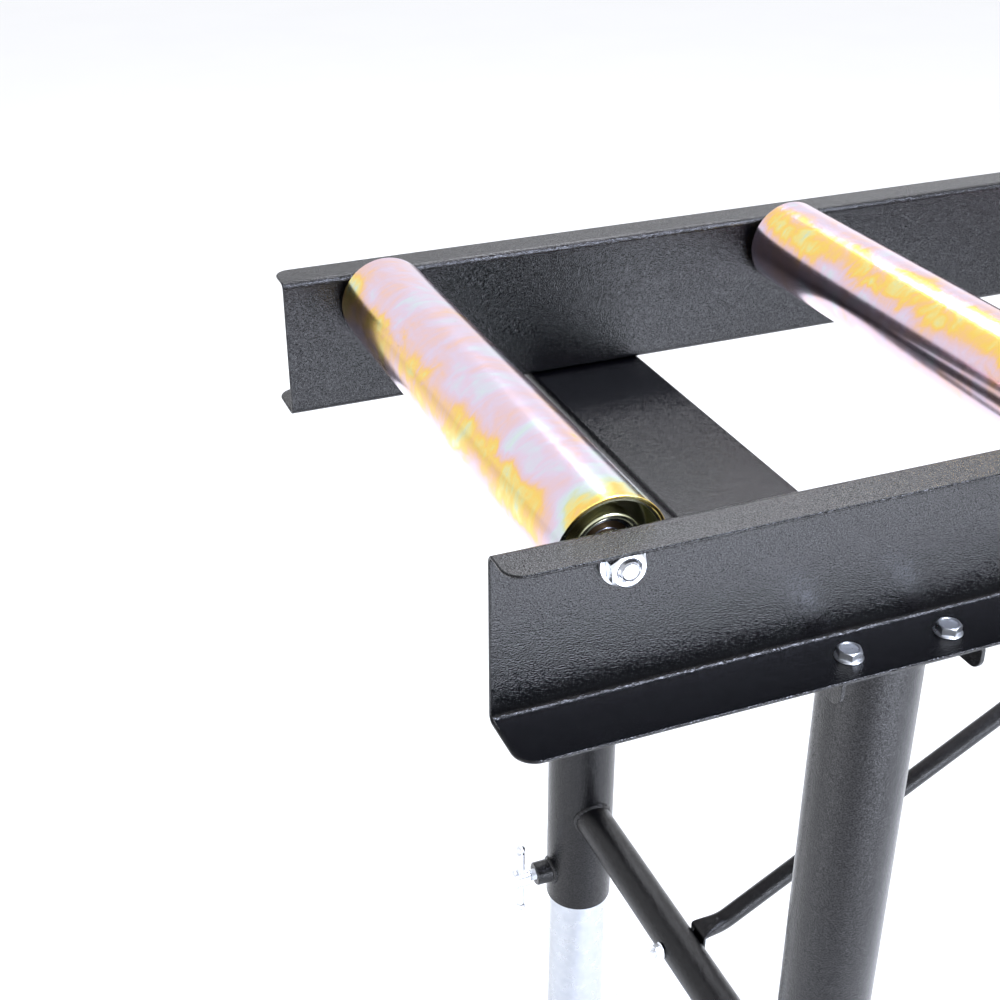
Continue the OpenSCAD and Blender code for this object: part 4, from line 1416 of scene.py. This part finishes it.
@dataclass(frozen=True)
class Leg:
    """Telescopic leg: a sleeve with a clamp, and an inner leg on a foot plate."""

    corner: Corner
    sleeve_d: float = 56.0
    sleeve_wall: float = 2.5
    sleeve_edge: float = 0.6
    # Depth to which welded branches reach into the sleeve
    sink: float = 0.1
    inner_wall: float = 2.0
    inner_edge: float = 0.5
    tube_sides: int = 128
    foot_corner_r: float = 8.0
    foot_edge_r: float = 0.9
    anchor_d: float = 11.0
    anchor_spacing: float = 90.0
    pad_gap: float = 0.3
    pad_t: float = 4.0
    pad_d: float = 9.0
    pad_bevel: float = 0.5
    pad_sides: int = 48
    pin_d: float = 4.0
    pin_len: float = 5.0
    pin_bevel: float = 0.4
    pin_play: float = 0.05
    # How much deeper than the pin its bore is
    pin_spare: float = 0.3
    clamp_d: float = 10.0
    clamp_pitch: float = 1.5
    tip_bevel: float = 0.5
    screw_sides: int = 64
    head_face: float = 48.0
    head_len: float = 14.0
    head_d: float = 16.0
    # Bevel under the head, and its groove and end bevel: how far in, and how far from the end
    head_bevel: Flat = (1.2, 0.7)
    head_groove: tuple[Flat, ...] = (
        (0.0, 4.2), (0.6, 3.8), (0.6, 3.0), (0.0, 2.6), (0.0, 1.2), (1.2, 0.0))
    handle_d: float = 8.0
    handle_len: float = 64.0
    handle_sides: int = 40
    # The balls on the handle's ends: where their arc starts, its steps, and the bar between them
    ball_from_deg: float = -60.0
    ball_steps: int = 13
    bar_inset: float = 4.6
    bar_step: float = 0.5
    weld_w: float = 5.0
    weld_steps: int = 72
    weld_seed: int = 41

    @property
    def foot_point(self) -> Flat:
        """The leg's axis as X and Y."""
        return self.corner.axis

    @property
    def clamp_point(self) -> tuple[float, float, float]:
        """Where the clamp's axis meets the leg's axis."""
        return (*self.corner.axis, self.corner.clamp_z)

    @property
    def inner(self) -> Box:
        """The inner leg's bounds."""
        return Box(f"leg_{self.corner.name}")

    def build(self) -> None:
        """Builds the sleeve, the inner leg, the foot, the screw and the pad."""
        name = self.corner.name
        for node, piece, body, wall, edge, finish in (
            (f"sleeve_{name}", f"sleeve_{name}_tube", "frame", self.sleeve_wall, self.sleeve_edge,
             POWDER),
            (f"leg_{name}", f"inner_leg_{name}_tube", f"inner_leg_{name}", self.inner_wall,
             self.inner_edge, DRAWN_ZINC),
        ):
            box = Box(node)
            outer = self.sleeve_d if body == "frame" else box.size[0]
            sizes = (outer, outer - 2 * wall, box.size[2])
            tube = RINGS.make(
                [(*self.foot_point, box.low[2])], [UP], sizes, edge, finish, self.tube_sides)
            Stock().add_mesh(tube).fit(piece, finish, body, [node])
        self.build_foot()
        self.build_screw()
        self.build_pad()

    def build_foot(self) -> None:
        """Builds the foot plate, with its anchor holes and its weld."""
        name, (x, y) = self.corner.name, self.foot_point
        box = Box(f"foot_{name}")
        length, width, thick = box.size
        plate = FoldedSheet(thick, (width,), edge_r=self.foot_edge_r)
        holes = [(side * self.anchor_spacing / 2, width / 2, self.anchor_d) for side in (-1, 1)]
        foot = plate.cut(length, (self.foot_corner_r, self.foot_corner_r), holes,
                         (x, y - width / 2, box.low[2] + thick / 2), (ALONG, ACROSS, UP))
        leg_r, seam = self.inner.size[0] / 2, circle(self.weld_steps)
        points = [(x + leg_r * c, y + leg_r * s, box.high[2]) for c, s in seam]
        foot.add_mesh(SEAMS.make(points, [(c, s, 1.0) for c, s in seam], self.weld_w, self.weld_seed))
        foot.fit(f"foot_{name}_welded", DRAWN_ZINC, f"inner_leg_{name}", [f"foot_{name}"])

    def build_screw(self) -> None:
        """Builds the clamp screw, with its thread, head and cross handle."""
        name, (x, y, z), outward = self.corner.name, self.clamp_point, self.corner.end.value
        tip = self.inner.size[0] / 2 + self.pad_gap + self.pad_t
        deep = tip + self.pin_len + self.pin_spare
        core, bore = (self.clamp_d - self.clamp_pitch) / 2, self.pin_d / 2 + self.pin_play
        head_r, end = self.head_d / 2, self.head_face + self.head_len
        profile = [(0, deep), (bore, deep), (bore, tip), (core - self.tip_bevel, tip),
                   (core, tip + self.tip_bevel), (core, self.head_face),
                   (head_r - self.head_bevel[0], self.head_face),
                   (head_r, self.head_face + self.head_bevel[1])]
        profile += [(head_r - into, end - back) for into, back in self.head_groove] + [(0, end)]
        screw = Stock().turn(profile, toward(self.corner.outward, (x, y, z)), sides=self.screw_sides)
        ball, half = self.handle_d / 2, self.handle_len / 2
        bar = (ball - self.bar_step, half - self.bar_inset)
        dome = [bar] + arc((0.0, half), ball, self.ball_from_deg, 90, self.ball_steps)[:-1]
        dome.append((0.0, half + ball))
        middle = x + outward * (self.head_face + self.head_len / 2)
        screw.turn([(r, -up) for r, up in reversed(dome)] + dome,
                   Matrix.Translation((middle, y, z)), sides=self.handle_sides)
        start = tip + self.clamp_pitch
        screw.add_mesh(THREADS.make(
            [(x + outward * start, y, z)], [self.corner.outward], self.clamp_d, self.clamp_pitch,
            self.head_face - start - self.clamp_pitch, ZINC))
        screw.fit(f"clamp_screw_{name}_turned", ZINC, f"screw_{name}", [f"clamp_screw_{name}"])

    def build_pad(self) -> None:
        """Builds the brass pad and its pin."""
        name = self.corner.name
        face, r, pin_r = self.inner.size[0] / 2 + self.pad_gap, self.pad_d / 2, self.pin_d / 2
        back, bevel, ease = face + self.pad_t, self.pad_bevel, self.pin_bevel
        end = back + self.pin_len
        profile = [(0, face), (r - bevel, face), (r, face + bevel), (r, back - ease), (r - ease, back),
                   (pin_r, back), (pin_r, end - ease), (pin_r - ease, end), (0, end)]
        pad = Stock().turn(profile, toward(self.corner.outward, self.clamp_point), sides=self.pad_sides)
        pad.fit(f"clamp_pad_{name}_turned", BRASS, f"pad_{name}", [f"clamp_pad_{name}"])


@dataclass(frozen=True)
class CrossTube:
    """Round tube between the two sleeves of one end, cut to their shape."""

    end: End
    diameter: float = 30.0
    wall: float = 2.0

    @property
    def node(self) -> str:
        """The tube's name in the frame."""
        return f"{self.end.name.lower()}_cross_tube"

    def saddles(self) -> list[Saddle]:
        """Gives the joints at the front and at the back sleeve."""
        height, post_r = Box(self.node).middle[2], Leg.sleeve_d / 2 - Leg.sink
        return [
            Saddle(Corner(side, self.end).axis, post_r, (0.0, -float(side.value), 0.0), height)
            for side in Side
        ]

    def build(self) -> None:
        """Builds the tube, each point of its back end behind one of its front end."""
        front, back = self.saddles()
        outer = self.diameter / 2
        rings = []
        for radius in (outer, outer - self.wall):
            near, far = front.ring(radius), back.ring(radius)
            paired = [min(far, key=lambda p: (p.x - q.x) ** 2 + (p.z - q.z) ** 2) for q in near]
            rings.append((near, paired))
        (front_outer, back_outer), (front_bore, back_bore) = rings
        Stock().skin([front_outer, back_outer, back_bore, front_bore], closed=True).fit(
            f"{self.node}_tube", POWDER, "frame", [self.node])


@dataclass(frozen=True)
class Welds:
    """Clamp bosses and the weld beads of the frame."""

    boss_d: float = 20.0
    boss_bore: float = 10.1
    boss_reach: float = 42.0
    boss_bevel: float = 0.9
    bore_bevel: float = 0.8
    weld_w: float = 5.5
    top_steps: int = 80
    # Seeds of the beads on the bosses, round the sleeves' tops and on the cross tubes
    seeds: tuple[int, int, int] = (51, 52, 53)

    def build(self) -> None:
        """Builds the bosses and lays the beads."""
        bosses, beads = Stock(), Stock()
        outer, bore, end = self.boss_d / 2, self.boss_bore / 2, self.boss_reach
        sleeve_r = Leg.sleeve_d / 2
        boss_seed, top_seed, tube_seed = self.seeds
        for corner in CORNERS:
            joint = Saddle(corner.axis, sleeve_r - Leg.sink, corner.outward, corner.clamp_z)
            bosses.skin([joint.ring(outer), joint.ring(outer, end - self.boss_bevel),
                         joint.ring(outer - self.boss_bevel, end),
                         joint.ring(bore + self.bore_bevel, end),
                         joint.ring(bore, end - self.bore_bevel), joint.ring(bore)], closed=True)
            beads.add_mesh(SEAMS.make(*joint.seam(outer), self.weld_w, boss_seed))
            (x, y), steps = corner.axis, circle(self.top_steps)
            top = Box(f"sleeve_{corner.name}").high[2]
            ring = [(x + sleeve_r * c, y + sleeve_r * s, top) for c, s in steps]
            beads.add_mesh(SEAMS.make(ring, [(c, s, -1.0) for c, s in steps], self.weld_w, top_seed))
        for tube in map(CrossTube, End):
            for joint in tube.saddles():
                beads.add_mesh(SEAMS.make(*joint.seam(tube.diameter / 2), self.weld_w, tube_seed))
        bosses.fit("clamp_bosses_turned", POWDER, "frame", ["clamp_bosses"])
        beads.fit("frame_weld_beads", POWDER)


@dataclass(frozen=True)
class Brace:
    """Round tube with both ends pressed flat and turned upright."""

    end: End
    joints: BraceJoints = BraceJoints()
    tube_r: float = 7.25
    tab_half_w: float = 10.0
    press_len: float = 24.0
    sides: int = 40
    blend: int = 16
    # The tab's rounded tip: way down it in millimetres, half width, and share of the thickness
    tip: tuple[tuple[float, float, float], ...] = (
        (0.0, 6.4, 0.6), (0.25, 7.4, 0.9), (1.0, 8.8, 1.0), (2.2, 9.7, 1.0), (4.0, 10.0, 1.0))
    # Where the bend between tab and tube is pulled to, up the tab and along the tube
    pull_up: float = 3.5
    pull_along: Flat = (-8.0, 4.0)

    def section(self, x: float, z: float, tangent: Sequence[float], half_t: float,
                half_w: float) -> list[Vector]:
        """Gives a section: a disc of the half thickness drawn out across the table.

        Args:
            x: Place along the table.
            z: Height.
            tangent: Direction of the tube there, as X and Z.
            half_t: Half thickness.
            half_w: Half width across the table.

        Returns:
            The section's points.
        """
        ring = []
        for i in range(self.sides):
            a = math.tau * (i + 0.5) / self.sides
            thick, across = half_t * math.cos(a), half_t * math.sin(a)
            across += math.copysign(half_w - half_t, math.sin(a))
            along = -self.end.value * (x - tangent[1] * thick)
            ring.append(Vector((along, across, z + tangent[0] * thick)))
        return ring

    def pressed_end(self, run: Vector) -> list[tuple]:
        """Gives the stations of the lower end, from the tab's tip, about the tab's middle."""
        half_t, half_h = self.joints.tab_t / 2, self.joints.tab_h / 2
        out = [(0.0, down - half_h, (0.0, 1.0), half_t * share, width)
               for down, width, share in self.tip]
        a, b = Vector((0.0, half_h)), Vector((0.0, half_h + self.pull_up))
        c, d = (run * (self.press_len + pull) for pull in self.pull_along)
        for k in range(self.blend + 1):
            t = k / self.blend
            s = 1 - t
            at = a * s**3 + b * 3 * s * s * t + c * 3 * s * t * t + d * t**3
            way = ((b - a) * s * s + (c - b) * 2 * s * t + (d - c) * t * t).normalized()
            opened = t * t * (3 - 2 * t)
            thick, width = (
                pressed + (self.tube_r - pressed) * opened for pressed in (half_t, self.tab_half_w))
            out.append((at.x, at.y, way, thick, width))
        return out

    def build(self) -> None:
        """Builds the brace as one skin from tip to tip."""
        low, high = Vector(self.joints.low), Vector(self.joints.high)
        stations = self.pressed_end((high - low).normalized())
        rings = [self.section(low.x + x, low.y + z, *rest) for x, z, *rest in stations]
        rings += [self.section(high.x - x, high.y - z, *rest) for x, z, *rest in reversed(stations)]
        first, last = ([sum(ring, Vector()) / len(ring)] for ring in (rings[0], rings[-1]))
        node = f"{self.end.name.lower()}_brace"
        Stock().skin([first, *rings, last]).fit(f"{node}_tube", POWDER, "frame", [node])


def dress_bearings() -> None:
    """Gives the bearing rings and balls, which keep their CAD shape, their steel."""
    outer_rings = [f"roller_{i}_outer_rings" for i in range(1, Roller.count + 1)]
    for name in ["bearing_inner_rings", "bearing_balls", *outer_rings]:
        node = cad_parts[name]
        node.data.materials.clear()
        node.data.materials.append(STEEL.material())
        log.info("%s keeps its CAD shape", name)


@dataclass(frozen=True)
class SoftLight:
    """A rectangular soft light."""

    name: str
    place: tuple[float, float, float]
    aim: tuple[float, float, float]
    size: Flat
    power: float
    tint: str

    def hang(self) -> None:
        """Adds the light to the scene."""
        lamp = bpy.data.lights.new(self.name, "AREA")
        lamp.shape = "RECTANGLE"
        lamp.size, lamp.size_y = self.size
        lamp.energy = self.power
        lamp.color = colour(self.tint)[:3]
        light = bpy.data.objects.new(self.name, lamp)
        light.visible_camera = False
        way = Vector(self.aim) - Vector(self.place)
        turn = way.to_track_quat("-Z", "Y").to_matrix().to_4x4()
        light.matrix_world = Matrix.Translation(self.place) @ turn
        bpy.context.scene.collection.objects.link(light)


@dataclass(frozen=True)
class Studio:
    """Camera at the photograph's viewing angle, soft white surround, lights and a pale floor."""

    eye: tuple[float, float, float] = (-1.20386, -0.73232, 1.14316)
    yaw_deg: float = 21.722
    pitch_deg: float = 29.023
    roll_deg: float = -0.18
    lens: float = 54.61
    sensor: float = 36.0
    clip: Flat = (0.02, 60.0)
    around: float = 1.2
    tint: str = "#f5f6fb"
    # The brightest side is behind the table, low on the right
    bright_way: tuple[float, float, float] = (0.64, 0.76, 0.08)
    bright_span: Flat = (0.975, 1.0)
    bright: float = 1.22
    floor_tints: tuple[str, str] = ("#e8e8e6", "#ececea")
    floor_cloud_mm: float = 400.0
    floor_roughness: float = 0.85
    floor_size: float = 14.0
    floor_drop: float = 0.0006
    lights: tuple[SoftLight, ...] = (
        SoftLight("top_front_softbox", (0.1, -1.27, 2.5), (-0.6, -0.2, 0.72),
                  (0.7, 1.0), 100.0, "#e0e8ff"),
        SoftLight("top_back_softbox", (-0.05, 1.03, 2.5), (-0.6, -0.1, 0.75),
                  (1.2, 1.2), 40.0, "#f6f8ff"),
        SoftLight("low_front_softbox", (-0.35, -1.6, 0.12), (-0.6, -0.18, 0.74),
                  (1.5, 0.9), 48.0, "#eaf0ff"),
        SoftLight("low_left_softbox", (-1.95, -0.35, 0.12), (-0.77, -0.18, 0.5),
                  (0.9, 0.8), 9.0, "#f6f8ff"),
    )

    def build(self) -> None:
        """Sets up camera, surround, floor and lights."""
        bpy.context.scene.view_settings.view_transform = "Standard"
        self.set_camera()
        self.set_surround()
        self.lay_floor()
        for light in self.lights:
            light.hang()

    def set_camera(self) -> None:
        """Places the camera."""
        yaw, pitch, roll = (math.radians(a) for a in (self.yaw_deg, self.pitch_deg, self.roll_deg))
        flat = math.cos(pitch)
        ahead = Vector((math.sin(yaw) * flat, math.cos(yaw) * flat, -math.sin(pitch)))
        level = Vector((math.cos(yaw), -math.sin(yaw), 0.0))
        upright = level.cross(ahead)
        right = level * math.cos(roll) + upright * math.sin(roll)
        up = upright * math.cos(roll) - level * math.sin(roll)
        camera = bpy.data.cameras.new("camera")
        camera.lens, camera.sensor_width = self.lens, self.sensor
        camera.clip_start, camera.clip_end = self.clip
        stand = bpy.data.objects.new("camera", camera)
        turn = Matrix((right, up, -ahead)).transposed().to_4x4()
        stand.matrix_world = Matrix.Translation(self.eye) @ turn
        bpy.context.scene.collection.objects.link(stand)
        bpy.context.scene.camera = stand

    def set_surround(self) -> None:
        """Lights the scene from all round, most from behind on the right."""
        world = bpy.data.worlds.new("studio")
        world.use_nodes = True
        tree = world.node_tree
        tree.nodes.clear()
        way = add_node(tree, "ShaderNodeTexCoord").outputs["Generated"]
        near = add_node(tree, "ShaderNodeVectorMath", {0: way, 1: self.bright_way},
                        operation="DOT_PRODUCT")
        strength = add_node(tree, "ShaderNodeMapRange", {
            "Value": near, **limits((self.around, self.around * self.bright), self.bright_span),
        }, interpolation_type="SMOOTHSTEP")
        surround = add_node(tree, "ShaderNodeBackground", {
            "Color": colour(self.tint), "Strength": strength})
        backdrop = add_node(tree, "ShaderNodeBackground", {
            "Color": colour("#ffffff"), "Strength": 1.0})
        seen = add_node(tree, "ShaderNodeLightPath").outputs["Is Camera Ray"]
        mixed = add_node(tree, "ShaderNodeMixShader", {0: seen, 1: surround, 2: backdrop})
        add_node(tree, "ShaderNodeOutputWorld", {"Surface": mixed})
        bpy.context.scene.world = world

    def lay_floor(self) -> None:
        """Lays the floor, a sheet of pale matt vinyl."""
        half = self.floor_size / 2
        sheet = Stock()
        corners = ((-half, -half), (half, -half), (half, half), (-half, half))
        sheet.points = [Vector((x, y, -self.floor_drop)) for x, y in corners]
        sheet.faces = [(0, 1, 2, 3)]
        floor = bpy.data.objects.new("pale_floor", sheet.mesh("pale_floor"))
        surface = bpy.data.materials.new("pale_matt_floor")
        surface.use_nodes = True
        tree = surface.node_tree
        cloud = add_node(tree, "ShaderNodeTexNoise", {
            "Vector": add_node(tree, "ShaderNodeTexCoord").outputs["Object"],
            "Scale": per_metre(self.floor_cloud_mm), "Detail": 2.0})
        tone = add_node(tree, "ShaderNodeMix", {
            "Factor": cloud, 6: colour(self.floor_tints[0]), 7: colour(self.floor_tints[1])},
            data_type="RGBA")
        feed(tree, tree.nodes["Principled BSDF"], {
            "Base Color": tone, "Roughness": self.floor_roughness})
        floor.data.materials.append(surface)
        bpy.context.scene.collection.objects.link(floor)


def main() -> None:
    """Builds every sub-assembly in order."""
    logging.basicConfig(level=logging.INFO, format="%(name)s: %(message)s")
    rollers = map(Roller, range(1, Roller.count + 1))
    for assembly in (*map(Rail, Side), *map(CrossBracket, BRACKETS), *rollers, Axles()):
        assembly.build()
    dress_bearings()
    for corner in CORNERS:
        Leg(corner).build()
    for end in End:
        CrossTube(end).build()
        Brace(end).build()
    Welds().build()
    Fasteners().build()
    Studio().build()


if __name__ == "__main__":
    main()
